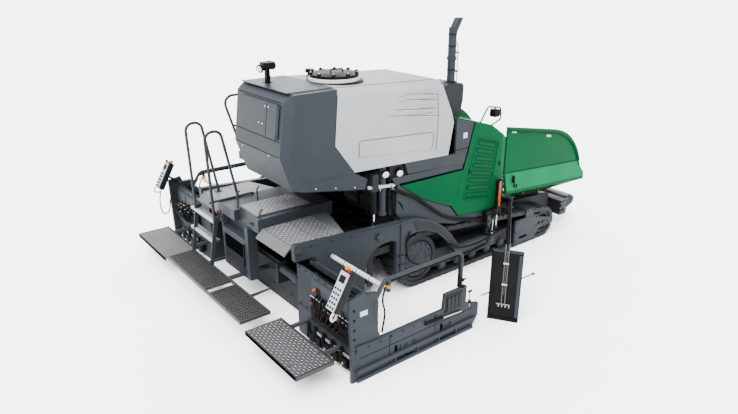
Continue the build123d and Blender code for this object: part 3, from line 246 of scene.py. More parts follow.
@dataclass(frozen=True)
class Finish:
    """One finish of the machine, made once and shared by its pieces."""

    name: str
    colour: Colour
    roughness: float = 0.4
    metallic: float = 0.0
    grain: Grain = Grain.ORANGE_PEEL
    dust: float = 0.02
    dust_colour: Colour = (0.13, 0.12, 0.11)
    wear: float = 0.0
    wear_colour: Colour = (0.12, 0.12, 0.12)
    coat: float = 0.0
    specular: float = 0.08

    def material(self) -> bpy.types.Material:
        """Make the finish's node material, or give the one made before.

        Returns:
            The material.
        """
        found = bpy.data.materials.get(self.name)
        if found is not None:
            return found
        graph = Graph(self.name)
        shade = graph.noise(1.3, 5.0)
        darker = tuple(c * 0.90 for c in self.colour)
        lighter = tuple(min(1.0, c * 1.08) for c in self.colour)
        colour = graph.mix(graph.ramp(shade, 0.35, 0.65), darker, lighter)
        if self.dust > 0:
            height = graph.add("ShaderNodeSeparateXYZ")
            graph.link(graph.place, height.inputs["Vector"])
            low = graph.ramp(height.outputs["Z"], 1.6, 0.0)
            cloud = graph.ramp(graph.noise(4.0, 8.0), 0.42, 0.72)
            streaks = graph.ramp(graph.noise(9.0, 4.0, (1.0, 1.0, 0.12)), 0.45, 0.75)
            amount = graph.math("MULTIPLY_ADD", low, 0.7, 0.25)
            amount = graph.math("MULTIPLY", amount, graph.math("MAXIMUM", cloud, streaks))
            amount = graph.math("MULTIPLY", amount, self.dust)
            colour = graph.mix(amount, colour, self.dust_colour)
        if self.wear > 0:
            mask = graph.math("MULTIPLY", graph.edges(0.006), graph.ramp(graph.noise(18.0, 6.0), 0.42, 0.6))
            colour = graph.mix(graph.math("MULTIPLY", mask, self.wear), colour, self.wear_colour)
        graph.link(colour, graph.shader.inputs["Base Color"])
        rough = graph.ramp(graph.noise(7.0, 6.0), 0.0, 1.0)
        rough = graph.math("MULTIPLY_ADD", rough, 0.18, max(0.02, self.roughness - 0.09))
        graph.link(rough, graph.shader.inputs["Roughness"])
        graph.shader.inputs["Metallic"].default_value = self.metallic
        graph.shader.inputs["Coat Weight"].default_value = self.coat
        graph.shader.inputs["Specular IOR Level"].default_value = self.specular
        self._grain(graph)
        return graph.material

    def _grain(self, graph: Graph) -> None:
        """Add the finish's grain as bump.

        Args:
            graph: the material being made.
        """
        if self.grain is Grain.ORANGE_PEEL:
            graph.bump(graph.noise(160.0, 2.0), 0.10, 0.0008)
        elif self.grain is Grain.CAST:
            graph.bump(graph.noise(120.0, 6.0), 0.5, 0.0015)
        elif self.grain is Grain.BRUSHED:
            graph.bump(graph.noise(90.0, 3.0, (0.04, 1.0, 1.0)), 0.25, 0.0006)
        elif self.grain is Grain.RUBBER:
            graph.bump(graph.noise(220.0, 4.0), 0.35, 0.0008)


SLATE = Finish("slate paint", (0.0125, 0.0155, 0.0195), 0.42, wear=0.12)
SLATE_DARK = Finish("dark slate paint", (0.0065, 0.0078, 0.0095), 0.45, wear=0.12)
SILVER = Finish("silver paint", (0.205, 0.212, 0.218), 0.38, metallic=0.15)
GREEN = Finish("green paint", (0.0, 0.041, 0.0135), 0.34, dust=0.0, specular=0.02)
# darker copy of the green paint: painted shade in the louvre slots, along the hopper rim and under the
# wings
GREEN_PAINTED_SHADE = Finish("green with painted shade", (0.0, 0.021, 0.0065), 0.45, dust=0.0, specular=0.02)
# lighter copy of the green paint: painted highlight on the wing's band, which tilts up towards the light
GREEN_PAINTED_HIGHLIGHT = Finish("green with painted highlight", (0.0005, 0.088, 0.034), 0.38, dust=0.0, specular=0.02)
BLACK = Finish("black paint", (0.0016, 0.0018, 0.002), 0.5, specular=0.05)
FRAME = Finish("frame paint", (0.0065, 0.0078, 0.0095), 0.52)
DECK = Finish("deck paint", (0.165, 0.162, 0.148), 0.62)
TRACK = Finish("track steel", (0.0095, 0.0105, 0.0115), 0.55, grain=Grain.CAST, dust=0.03)
STEEL = Finish("bare steel", (0.07, 0.07, 0.073), 0.38, metallic=0.9, grain=Grain.BRUSHED)
CHROME = Finish("chromed rod", (0.30, 0.31, 0.32), 0.14, metallic=1.0, grain=Grain.SMOOTH, dust=0.0)
TREAD = Finish("tread aluminium", (0.072, 0.075, 0.078), 0.45, metallic=0.2, grain=Grain.BRUSHED)
PLATE = Finish("walkway plate steel", (0.030, 0.031, 0.032), 0.5, metallic=0.1, grain=Grain.BRUSHED,
               dust=0.0)
STUD = Finish("tread lozenges", (0.24, 0.245, 0.25), 0.35, metallic=0.3, grain=Grain.BRUSHED, dust=0.0)
ZINC = Finish("grating steel", (0.026, 0.027, 0.028), 0.45, metallic=0.3, grain=Grain.CAST)
PLASTIC = Finish("console plastic", (0.003, 0.0033, 0.0036), 0.55, grain=Grain.RUBBER)
PALE = Finish("pale key pad", (0.19, 0.22, 0.24), 0.45, dust=0.0)
# darker copy of the silver paint: painted shadow lines on the tank shell
SHADOW = Finish("silver with painted shadow", (0.055, 0.057, 0.060), 0.5, dust=0.0)
SEAT = Finish("seat cover", (0.002, 0.002, 0.0022), 0.75, grain=Grain.RUBBER, specular=0.05)
RUBBER = Finish("black rubber", (0.0012, 0.0012, 0.0013), 0.6, grain=Grain.RUBBER, dust=0.01, specular=0.06)
# near-black for real dark joints and seams, and painted shade in holes, pockets, the centre recess and the
# open tray
DARK_JOINTS_AND_SHADE = Finish("dark joints and painted recess shade", (0.0004, 0.0004, 0.0004), 0.95, grain=Grain.RUBBER, dust=0.0, specular=0.01)
ORANGE = Finish("orange paint", (0.20, 0.042, 0.003), 0.4, dust=0.0)
YELLOW = Finish("yellow knob", (0.24, 0.11, 0.001), 0.35, dust=0.0)
RED = Finish("red cap", (0.12, 0.002, 0.002), 0.35, dust=0.0)
# white parts, and painted highlight strips under the tank shell's shadow lines
WHITE_AND_HIGHLIGHT = Finish("white enamel and painted highlight", (0.34, 0.35, 0.35), 0.35, dust=0.0)
LENS = Finish("lamp lens", (0.42, 0.44, 0.46), 0.12, grain=Grain.SMOOTH, dust=0.0, coat=0.3)


NODE_FINISH: dict[str, Finish] = {
    node: finish
    for finish, nodes in (
        (FRAME, "main_frame track_frames tank_cradle auger_frame spray_mounts screed_base"),
        (SLATE, "hopper_rear_wall track_guards grey_side_panels tank_body operator_deck guard_rails"),
        (SLATE, "exhaust_stack hopper_apron tow_arms tread_beams access_steps tank_door"),
        (SLATE, "extension_frame_right extension_frame_left end_plate_right end_plate_left"),
        (SLATE_DARK, "exhaust_housing push_beam"),
        (GREEN, "engine_hood green_side_panels hood_lamps hopper_wing_right hopper_wing_left"),
        (STEEL, "engine_block hopper_floor conveyor_slats auger_right auger_left"),
        (STEEL, "push_roller_right push_roller_left"),
        (BLACK, "lamp_mast tow_points lift_barrels spray_board_right spray_board_left tank_lid"),
        (PLASTIC, "operator_console control_console_right control_console_left"),
        (PLATE, "walkway_plate_right walkway_plate_left"),
        (TRACK, "tracks"), (SILVER, "tank_shell"), (DECK, "tank_deck"), (SEAT, "operator_seats"),
        (ZINC, "walk_gratings"), (TREAD, "screed_treads"), (DARK_JOINTS_AND_SHADE, "screed_curtain"), (CHROME, "lift_rods"))
    for node in nodes.split()
}
PLAIN_BEVEL = 3.0
NODE_BEVEL: dict[str, float] = {
    "tank_body": 16.0, "tank_shell": 12.0, "tread_beams": 14.0, "extension_frame_right": 4.0,
    "exhaust_housing": 12.0, "push_beam": 8.0, "engine_hood": 8.0,
}


# ---------------------------------------------------------------- drawing in millimetres
def at(x: float, y: float, z: float) -> Vector:
    """Point of the row frame for a station, side and height in millimetres."""
    return Vector(((x - ORIGIN_STATION) * MM, y * MM, z * MM))


def rounded(points: Sequence[Point], bend: float, steps: int = 5) -> list[Vector]:
    """Path through points with rounded corners.

    Args:
        points: stations, sides and heights in millimetres.
        bend: length of straight that each corner takes, in millimetres.
        steps: segments in each corner.

    Returns:
        The path in the row frame.
    """
    corners = [at(*point) for point in points]
    path = [corners[0]]
    for before, corner, after in zip(corners, corners[1:], corners[2:]):
        back, ahead = before - corner, after - corner
        cut = min(bend * MM, back.length * CORNER_SHARE, ahead.length * CORNER_SHARE)
        start, end = corner + back.normalized() * cut, corner + ahead.normalized() * cut
        for step in range(steps + 1):
            share = step / steps
            path.append(start.lerp(corner, share).lerp(corner.lerp(end, share), share))
    path.append(corners[-1])
    return path


def hanging(points: Sequence[Point], steps: int = 5) -> list[Vector]:
    """Smooth hose line through points.

    Args:
        points: stations, sides and heights in millimetres.
        steps: segments between two points.

    Returns:
        The path in the row frame.
    """
    knots = [at(*point) for point in points]
    knots = [knots[0] * 2 - knots[1], *knots, knots[-1] * 2 - knots[-2]]
    path = []
    for a, b, c, d in zip(knots, knots[1:], knots[2:], knots[3:]):
        for step in range(steps):
            t = step / steps
            path.append(0.5 * ((2 * b) + (c - a) * t + (2 * a - 5 * b + 4 * c - d) * t * t
                               + (3 * b - a - 3 * c + d) * t * t * t))
    path.append(knots[-2])
    return path


def spokes(normal: Vector, along: Vector, sides: int) -> list[Vector]:
    """Unit vectors evenly round a line.

    Args:
        normal: the first one, square to the line.
        along: direction of the line.
        sides: number of vectors.

    Returns:
        The vectors in the row frame.
    """
    across = along.cross(normal)
    turns = [math.tau * side / sides for side in range(sides)]
    return [normal * math.cos(turn) + across * math.sin(turn) for turn in turns]


class Piece:
    """One dressed piece: drawn in millimetres, then finished and tied to its body."""

    def __init__(self, name: str, finish: Finish, body: str = "tractor", flip: bool = False) -> None:
        """Start an empty piece on a body. A flipped piece is drawn on the right and done on the left."""
        self.name, self.finish, self.body, self.flip = name, finish, body, flip
        self.mesh = bmesh.new()

    def box(self, x0: float, x1: float, y0: float, y1: float, z0: float, z1: float) -> "Piece":
        """Block between two corners."""
        return self.plate("z", [(x0, y0), (x1, y0), (x1, y1), (x0, y1)], z0, z1)

    def plate(self, axis: str, outline: Outline, low: float, high: float) -> "Piece":
        """Plate of constant thickness.

        Args:
            axis: axis across the plate. The outline has the other two, in the order x, y, z.
            outline: corners in millimetres.
            low: one face.
            high: the other face.

        Returns:
            This piece.
        """
        def corner(a: float, b: float, level: float) -> Vector:
            """Corner of the plate at one face."""
            return at(*{"x": (level, a, b), "y": (a, level, b), "z": (a, b, level)}[axis])

        rings = [[self.mesh.verts.new(corner(a, b, level)) for a, b in outline] for level in (low, high)]
        self.close(rings)
        return self

    def skin(self, near: Sequence[Point], far: Sequence[Point]) -> "Piece":
        """Closed skin between two outlines with the same number of corners."""
        self.close([[self.mesh.verts.new(at(*corner)) for corner in outline] for outline in (near, far)])
        return self

    def close(self, rings: Sequence[Sequence[bmesh.types.BMVert]]) -> None:
        """Join rings of corners into a closed skin.

        Args:
            rings: rings with the same number of corners, in order.
        """
        count = len(rings[0])
        for lower, upper in zip(rings, rings[1:]):
            for index in range(count):
                after = (index + 1) % count
                self.mesh.faces.new((lower[index], lower[after], upper[after], upper[index]))
        self.mesh.faces.new(list(reversed(rings[0])))
        self.mesh.faces.new(rings[-1])

    def sweep(self, path: Sequence[Vector], radius: float, sides: int = 10) -> "Piece":
        """Round tube along a path.

        Args:
            path: points of the row frame.
            radius: radius in millimetres.
            sides: sides of the tube.

        Returns:
            This piece.
        """
        normal = (path[1] - path[0]).orthogonal().normalized()
        rings = []
        for index, point in enumerate(path):
            ahead, behind = path[min(index + 1, len(path) - 1)], path[max(index - 1, 0)]
            along = (ahead - behind).normalized()
            normal = (normal - along * normal.dot(along)).normalized()
            rings.append([self.mesh.verts.new(point + spoke * radius * MM)
                          for spoke in spokes(normal, along, sides)])
        self.close(rings)
        return self

    def pipe(self, points: Sequence[Point], radius: float, bend: float = 60.0, sides: int = 12) -> "Piece":
        """Bent tube through points in millimetres."""
        return self.sweep(rounded(points, bend), radius, sides)

    def hose(self, points: Sequence[Point], radius: float, sides: int = 8) -> "Piece":
        """Soft hose through points in millimetres."""
        return self.sweep(hanging(points), radius, sides)

    def turned(self, start: Point, end: Point, profile: Outline, sides: int = 20) -> "Piece":
        """Round piece about a line.

        Args:
            start: one end in millimetres.
            end: the other end.
            profile: share of the length and radius in millimetres, in order.
            sides: sides of the piece.

        Returns:
            This piece.
        """
        first, last = at(*start), at(*end)
        along = (last - first).normalized()
        wheel = spokes(along.orthogonal().normalized(), along, sides)
        rings = []
        for share, radius in profile:
            centre, reach = first.lerp(last, share), radius * MM
            rings.append([self.mesh.verts.new(centre + spoke * reach) for spoke in wheel])
        self.close(rings)
        return self

    def cone(self, start: Point, end: Point, first: float, last: float, sides: int = 20) -> "Piece":
        """Round piece whose radius goes evenly from the first to the last."""
        return self.turned(start, end, [(0, first), (1, last)], sides)

    def cap(self, start: Point, end: Point, radius: float, tip: float, shoulder: float,
            sides: int = 20) -> "Piece":
        """Round cap that narrows to its tip past the shoulder, a share of its length."""
        return self.turned(start, end, [(0, radius), (shoulder, radius), (1, tip)], sides)

    def studs(self, x0: float, x1: float, y0: float, y1: float, z: float, pitch: float = 42.0) -> "Piece":
        """Raised lozenges in two directions on a level tread.

        Args:
            x0: rear edge.
            x1: front edge.
            y0: right edge.
            y1: left edge.
            z: height of the tread.
            pitch: distance between lozenges.

        Returns:
            This piece.
        """
        reach, waist, rise, sink = pitch * 0.30, pitch * 0.065, 3.2, 0.3
        for row in range(int((x1 - x0) / pitch)):
            for column in range(int((y1 - y0) / pitch)):
                x, y = x0 + (row + 0.5) * pitch, y0 + (column + 0.5) * pitch
                turn = 1 if (row + column) % 2 else -1
                corners = ((x - reach, y - reach * turn), (x - waist * turn, y + waist),
                           (x + reach, y + reach * turn), (x + waist * turn, y - waist))
                ring = [self.mesh.verts.new(at(px, py, z - sink)) for px, py in corners]
                peak = self.mesh.verts.new(at(x, y, z + rise))
                for index in range(4):
                    self.mesh.faces.new((ring[index], ring[(index + 1) % 4], peak))
        return self

    def rod(self, start: Point, end: Point, radius: float, sides: int = 16) -> "Piece":
        """Round bar with softened ends."""
        soft = radius * 0.92
        return self.turned(start, end, [(0, soft), (0.02, radius), (0.98, radius), (1, soft)], sides)

    def bolts(self, centres: Iterable[Point], axis: Point, size: float = 12.0,
              height: float = 9.0) -> "Piece":
        """Hexagon bolts with washers.

        Args:
            centres: places on the surface in millimetres.
            axis: direction the heads point.
            size: radius of the head.
            height: height of the head.

        Returns:
            This piece.
        """
        for centre in centres:
            tip = tuple(c + a * height for c, a in zip(centre, axis))
            base = tuple(c + a * height * 0.25 for c, a in zip(centre, axis))
            self.cone(centre, base, size * 1.35, size * 1.35, 12)
            self.cap(base, tip, size, size * 0.8, 0.8, 6)
        return self

    def done(self, bevel: float = 0.0, both: bool = False) -> bpy.types.Object:
        """Finish the piece.

        Args:
            bevel: width of its softened edges in millimetres.
            both: True to add the mirror image on the machine's other side.

        Returns:
            The finished object.
        """
        if both:
            whole = self.mesh.verts[:] + self.mesh.edges[:] + self.mesh.faces[:]
            copy = bmesh.ops.duplicate(self.mesh, geom=whole)
            for vert in (item for item in copy["geom"] if isinstance(item, bmesh.types.BMVert)):
                vert.co.y = -vert.co.y
        if self.flip:
            for vert in self.mesh.verts:
                vert.co.y = -vert.co.y
        bmesh.ops.recalc_face_normals(self.mesh, faces=self.mesh.faces[:])
        data = bpy.data.meshes.new(self.name)
        self.mesh.to_mesh(data)
        self.mesh.free()
        data.shade_smooth()
        data.set_sharp_from_angle(angle=SHARP_ANGLE)
        data.materials.append(self.finish.material())
        made = bpy.data.objects.new(self.name, data)
        bpy.context.scene.collection.objects.link(made)
        if bevel:
            soften(made, bevel)
        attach(made, self.body)
        LOG.info("%s on %s, %d faces", self.name, self.body, len(data.polygons))
        return made


def soften(made: bpy.types.Object, width: float) -> None:
    """Round the sharp edges of an object.

    Args:
        made: the object.
        width: width in millimetres.
    """
    edge = made.modifiers.new("edge", "BEVEL")
    edge.width = width * MM
    edge.segments = 2
    edge.limit_method = "ANGLE"
    edge.angle_limit = BEVEL_ANGLE


def circle(centre: Point, radius: float, count: int, turn: float = 0.0,
           upright: bool = False) -> list[Point]:
    """Points on a level circle, or on an upright one that faces sideways.

    Args:
        centre: middle of the circle in millimetres.
        radius: radius in millimetres.
        count: number of points.
        turn: angle of the first point in degrees.
        upright: True for the upright circle.

    Returns:
        The points in millimetres.
    """
    x, y, z = centre
    angles = [math.radians(turn) + math.tau * index / count for index in range(count)]
    if upright:
        return [(x + radius * math.cos(a), y, z + radius * math.sin(a)) for a in angles]
    return [(x + radius * math.cos(a), y + radius * math.sin(a), z) for a in angles]


def span(side: int, near: float, far: float) -> tuple[float, float]:
    """Low and high end of a span that lies between two distances from the middle, on one side."""
    return min(side * near, side * far), max(side * near, side * far)


# ---------------------------------------------------------------- tank
@dataclass
class Tank:
    """Trim of the emulsion tank: joints, fasteners, relief of the shell with painted shadow and highlight
    lines, hatch and lamp mast.
    """

    side: float = -1275.0
    bend: tuple[float, float] = (640.0, 2300.0)
    crown: tuple[float, float] = (740.0, 3020.0)
    door_stand: float = 30.0
    hatch: Point = (1720.0, -760.0, 3086.0)
    hatch_radius: float = 310.0

    def build(self) -> None:
        """Make every piece of the tank's trim."""
        self._joints()
        self._fasteners()
        self._relief()
        self._hatch()
        self._mast()

    def rear(self, z: float) -> float:
        """Station of the leaning rear face at a height."""
        (low_x, low_z), (high_x, high_z) = self.bend, self.crown
        return low_x + (high_x - low_x) * (z - low_z) / (high_z - low_z)

    def _strip(self, piece: Piece, low: float, high: float, y0: float, y1: float, stand: float) -> None:
        """Dark strip on the leaning face between two heights, standing off the body by a distance."""
        back, front = self.rear(low) - stand, self.rear(high) - stand
        piece.plate("y", [(back - 2, low), (back + 3, low), (front + 3, high), (front - 2, high)], y0, y1)

    def _joints(self) -> None:
        """Panel joints of the rear face and of the two-leaf door."""
        joints = Piece("tank_joints", DARK_JOINTS_AND_SHADE)
        for height, y0, y1 in ((2478, -1165, -130), (2300, -1165, -130), (2922, -1150, -130)):
            self._strip(joints, height, height + 7, y0, y1, 0)
        joints.box(1396, 1404, self.side + 60, self.side + 100, 2955, 3010)
        joints.done()
        split = Piece("door_joint", DARK_JOINTS_AND_SHADE, "tank_door")
        self._strip(split, 2510, 2890, -884, -878, self.door_stand)
        split.done()

    def _fasteners(self) -> None:
        """Quarter-turn fasteners of the door and rivets of the lower lip."""
        door = Piece("door_fasteners", CHROME, "tank_door")
        for y, z in ((-840, 2850), (-920, 2852), (-715, 2640), (-800, 2640)):
            x = self.rear(z) - self.door_stand
            door.cap((x + 2, y, z), (x - 7, y, z), 13, 9, 0.6, 14)
        door.done()
        body = Piece("tank_rivets", CHROME)
        for y, z in ((-293, 2273), (-946, 2285)):
            x = self.rear(z)
            body.cap((x + 8, y, z), (x - 6, y, z), 11, 8, 0.6, 12)
        for x, z in ((1059, 1870), (1350, 1815), (1643, 1762)):
            body.cap((x, self.side + 2, z), (x, self.side - 9, z), 11, 7, 0.6, 12)
        body.done()

    def _relief(self) -> None:
        """Raised fields, lip, painted shadow and highlight lines, and seam of the tank's right side, and
        its rear top cover.
        """
        side = self.side
        field = Piece("shell_field", SILVER)
        field.plate("y", [(1712, 2148), (1712, 2330), (1730, 2350), (2950, 2277), (2985, 2240),
                          (2965, 2060), (2930, 2032)], side - 7, side + 1)
        field.plate("y", [(3030, 2010), (3120, 1990), (3155, 2500), (3110, 2790), (3020, 2815),
                          (3052, 2500)], side - 6, side + 1).done(5)
        lip = Piece("tank_lip", SLATE)
        lip.plate("y", [(812, 1885), (895, 1968), (1600, 1948), (1640, 1940), (1838, 1832), (1792, 1712)],
                  side - 6, side + 1).done(4)
        # painted shadow strips over painted highlight strips along the shell's grooves, so they read as
        # embossed steps
        low, high = Piece("shell_line_painted_shadow", SHADOW), Piece("shell_line_painted_highlight", WHITE_AND_HIGHLIGHT)
        for (x0, z0), (x1, z1) in (((2468, 2837), (3108, 2755)), ((2470, 2764), (3084, 2682)),
                                   ((2243, 2661), (3062, 2571)), ((2194, 2589), (3053, 2479))):
            low.plate("y", [(x0, z0), (x1, z1), (x1, z1 + 11), (x0, z0 + 11)], side - 2, side + 2)
            high.plate("y", [(x0, z0 - 8), (x1, z1 - 8), (x1, z1), (x0, z0)], side - 3, side + 2)
        field_edge = ((1716, 2150), (1716, 2328), (1740, 2346), (2946, 2272), (2978, 2236), (2958, 2062),
                      (2928, 2038))
        # painted shadow lines round the raised field and along the front ridge
        low.pipe([(x, side - 7, z) for x, z in field_edge], 4.5, 12, 6)
        low.pipe([(3036, side - 6, 2012), (3058, side - 6, 2500), (3026, side - 6, 2812)], 4.5, 60, 6)
        low.done()
        high.done()
        cover = Piece("rear_cover", SLATE)
        cover.box(772, 1398, -1188, -92, 3030, 3037).done(3)
        seam = Piece("shell_seam", DARK_JOINTS_AND_SHADE)
        seam.plate("y", [(1400, 2948), (1350, 2341), (1641, 1957), (1648, 1957), (1358, 2343),
                         (1407, 2948)], side - 1.5, side + 4).done()

    def _hatch(self) -> None:
        """White gasket and skirt under the lid, its clamps and grab handle, and the breather beside it."""
        (x, y, z), reach = self.hatch, self.hatch_radius
        gasket = Piece("hatch_gasket", WHITE_AND_HIGHLIGHT)
        gasket.cap((x, y, z - 44), (x, y, z - 6), reach + 16, reach + 10, 0.8, 48)
        gasket.done()
        skirt = Piece("hatch_skirt", BLACK)
        skirt.cone((x, y, z - 66), (x, y, z - 44), reach + 60, reach + 40, 48)
        skirt.done(2)
        clamps = Piece("hatch_clamps", BLACK, "tank_lid")
        clamps.cone((x, y, z + 33), (x, y, z + 46), reach - 40, reach - 70, 40)
        rim = circle(self.hatch, reach - 12, 10, 18)
        for px, py, _ in rim:
            clamps.box(px - 20, px + 20, py - 16, py + 16, z + 30, z + 56)
        clamps.pipe([(x - 90, y - 60, z + 40), (x - 90, y - 60, z + 88), (x + 90, y - 60, z + 88),
                     (x + 90, y - 60, z + 40)], 9, 26, 8).done(2)
        knobs = Piece("hatch_knobs", CHROME, "tank_lid")
        for px, py, _ in rim:
            knobs.cap((px, py, z + 55), (px, py, z + 68), 10, 6, 0.7, 8)
        knobs.done()
        breather = Piece("tank_breather", RUBBER).box(1560, 1760, -440, -360, 3034, 3050)
        breather.turned((1660, -300, 3030), (1660, -300, 3120),
                        [(0, 34), (0.45, 34), (0.5, 62), (0.95, 62), (1, 50)])
        breather.done(3)

    def _mast(self) -> None:
        """Reflectors, bezels and cable of the lamp mast."""
        lens = Piece("mast_lenses", LENS)
        lens.cone((834, -489, 3217), (824, -491, 3214), 40, 34)
        lens.cone((1074, -381, 3223), (1086, -379, 3218), 44, 38).done()
        trim = Piece("mast_trim", RUBBER)
        trim.turned((850, -485, 3222), (828, -490, 3216), [(0, 47), (0.9, 52), (1, 52), (1, 42)])
        trim.hose([(955, -446, 3170), (960, -500, 3120), (948, -512, 3060), (960, -480, 3036)], 7)
        trim.bolts([(944, -470, 3060), (966, -470, 3060)], RIGHT, 6, 6)
        trim.box(905, 1005, -495, -395, 3030, 3042).done(2)


# ---------------------------------------------------------------- hood and side panels
@dataclass
class Hood:
    """Trim of the engine hood and of the panels on the flanks."""

    flank: float = -1275.0
    lamp: Point = (4305.0, -1190.0, 2335.0)
    slots: int = 8
    slot_half: float = 33.0

    def build(self) -> None:
        """Make every piece of the hood's trim."""
        self._lamps()
        self._louvre_frames()
        self._panel_trim()

    def _lamps(self) -> None:
        """Lamp heads in their guards on both sides."""
        x, y, z = self.lamp
        head = Piece("hood_lamp_heads", BLACK)
        head.plate("y", [(x - 56, z - 54), (x + 40, z - 54), (x + 56, z - 30), (x + 56, z + 40),
                         (x + 40, z + 56), (x - 56, z + 56)], y - 54, y + 54)
        for level in range(4):
            head.box(x - 50, x + 44, y - 60, y + 60, z - 36 + level * 24, z - 28 + level * 24)
        head.done(4, both=True)
        glass = Piece("hood_lamp_lenses", LENS)
        glass.box(x + 54, x + 59, y - 42, y + 42, z - 26, z + 34).done(2, both=True)

    def _louvre_frames(self) -> None:
        """Panels with looped slot lines of painted shade, their border, the latches and the roof's ridges.
        """
        panels = Piece("louvre_panels", GREEN)
        panels.plate("y", [(3884, 2024), (4326, 1895), (4196, 1064), (3646, 1155)], self.flank + 2,
                     self.flank + 25)
        panels.done(both=True)
        # dark green loops: painted shade of the louvre slots
        grooves = Piece("louvre_slot_shade", GREEN_PAINTED_SHADE)
        for index in range(self.slots):
            share = (index + 0.5) / self.slots
            rear, rear_z = 3880 - 240 * share + 34, 2030 - 880 * share - 6
            front, front_z = 4330 - 130 * share - 34, 1900 - 840 * share + 4
            half = self.slot_half
            loop = [(rear, rear_z + half), (front, front_z + half), (front, front_z - half),
                    (rear, rear_z - half)]
            middle = ((rear + front) / 2, (rear_z + front_z) / 2 + half)
            path = [(x, self.flank + 3, z) for x, z in (middle, loop[1], loop[2], loop[3], loop[0], middle)]
            grooves.pipe(path, 8.5, 30, 6)
        grooves.done(both=True)
        border = Piece("louvre_borders", GREEN)
        corners = ((3870, 2048), (4345, 1912), (4212, 1046), (3628, 1134), (3870, 2048), (4345, 1912))
        border.pipe([(x, self.flank - 2, z) for x, z in corners], 9, 40, 8).done(both=True)
        latches = Piece("hood_latches", BLACK)
        for x, z in ((3735, 1560), (3700, 1330), (4395, 1560)):
            latches.box(x - 16, x + 16, self.flank - 9, self.flank + 1, z - 34, z + 34)
            latches.box(x - 7, x + 7, self.flank - 15, self.flank - 8, z - 20, z + 20)
        latches.done(3, both=True)
        ridge = Piece("hood_ridges", GREEN)
        for y in (-820, -380):
            ridge.plate("y", [(3500, 2378), (3810, 2286), (4160, 2186), (4530, 1944), (4530, 1960),
                              (4165, 2204), (3815, 2303), (3500, 2396)], y - 26, y + 26)
        ridge.done(6, both=True)

    def _panel_trim(self) -> None:
        """Bolts and joints of the slate bands, and the bare badge plate."""
        side = self.flank
        bolts = Piece("band_bolts", SLATE)
        bolts.bolts([(x, side, 1850 - (x - 2620) * 0.03) for x in (2620, 2900, 3180, 3460)], RIGHT, 9, 6)
        places = ((3480, 2320), (3740, 2240), (3480, 1960), (3650, 1960), (3480, 1740), (3590, 1740))
        bolts.bolts([(x, side + 5, z) for x, z in places], RIGHT, 8, 6).done()
        joint = Piece("band_joints", DARK_JOINTS_AND_SHADE)
        joint.plate("y", [(2400, 1636), (3600, 1618), (3600, 1626), (2400, 1645)], side - 3, side + 13)
        joint.plate("y", [(2500, 1757), (3600, 1722), (3600, 1730), (2500, 1765)], side + 3, side + 13)
        joint.box(3425, 3690, side + 2, side + 13, 1925, 1932)
        joint.plate("y", [(3600, 1612), (3608, 1612), (3705, 1930), (3800, 2280), (3792, 2280),
                          (3697, 1932)], side - 3, side + 13).done()
        badge = Piece("badge_plate", WHITE_AND_HIGHLIGHT).box(3570, 3650, side, side + 4, 2080, 2160)
        badge.box(3584, 3636, side - 2, side + 1, 2094, 2146).done(2)


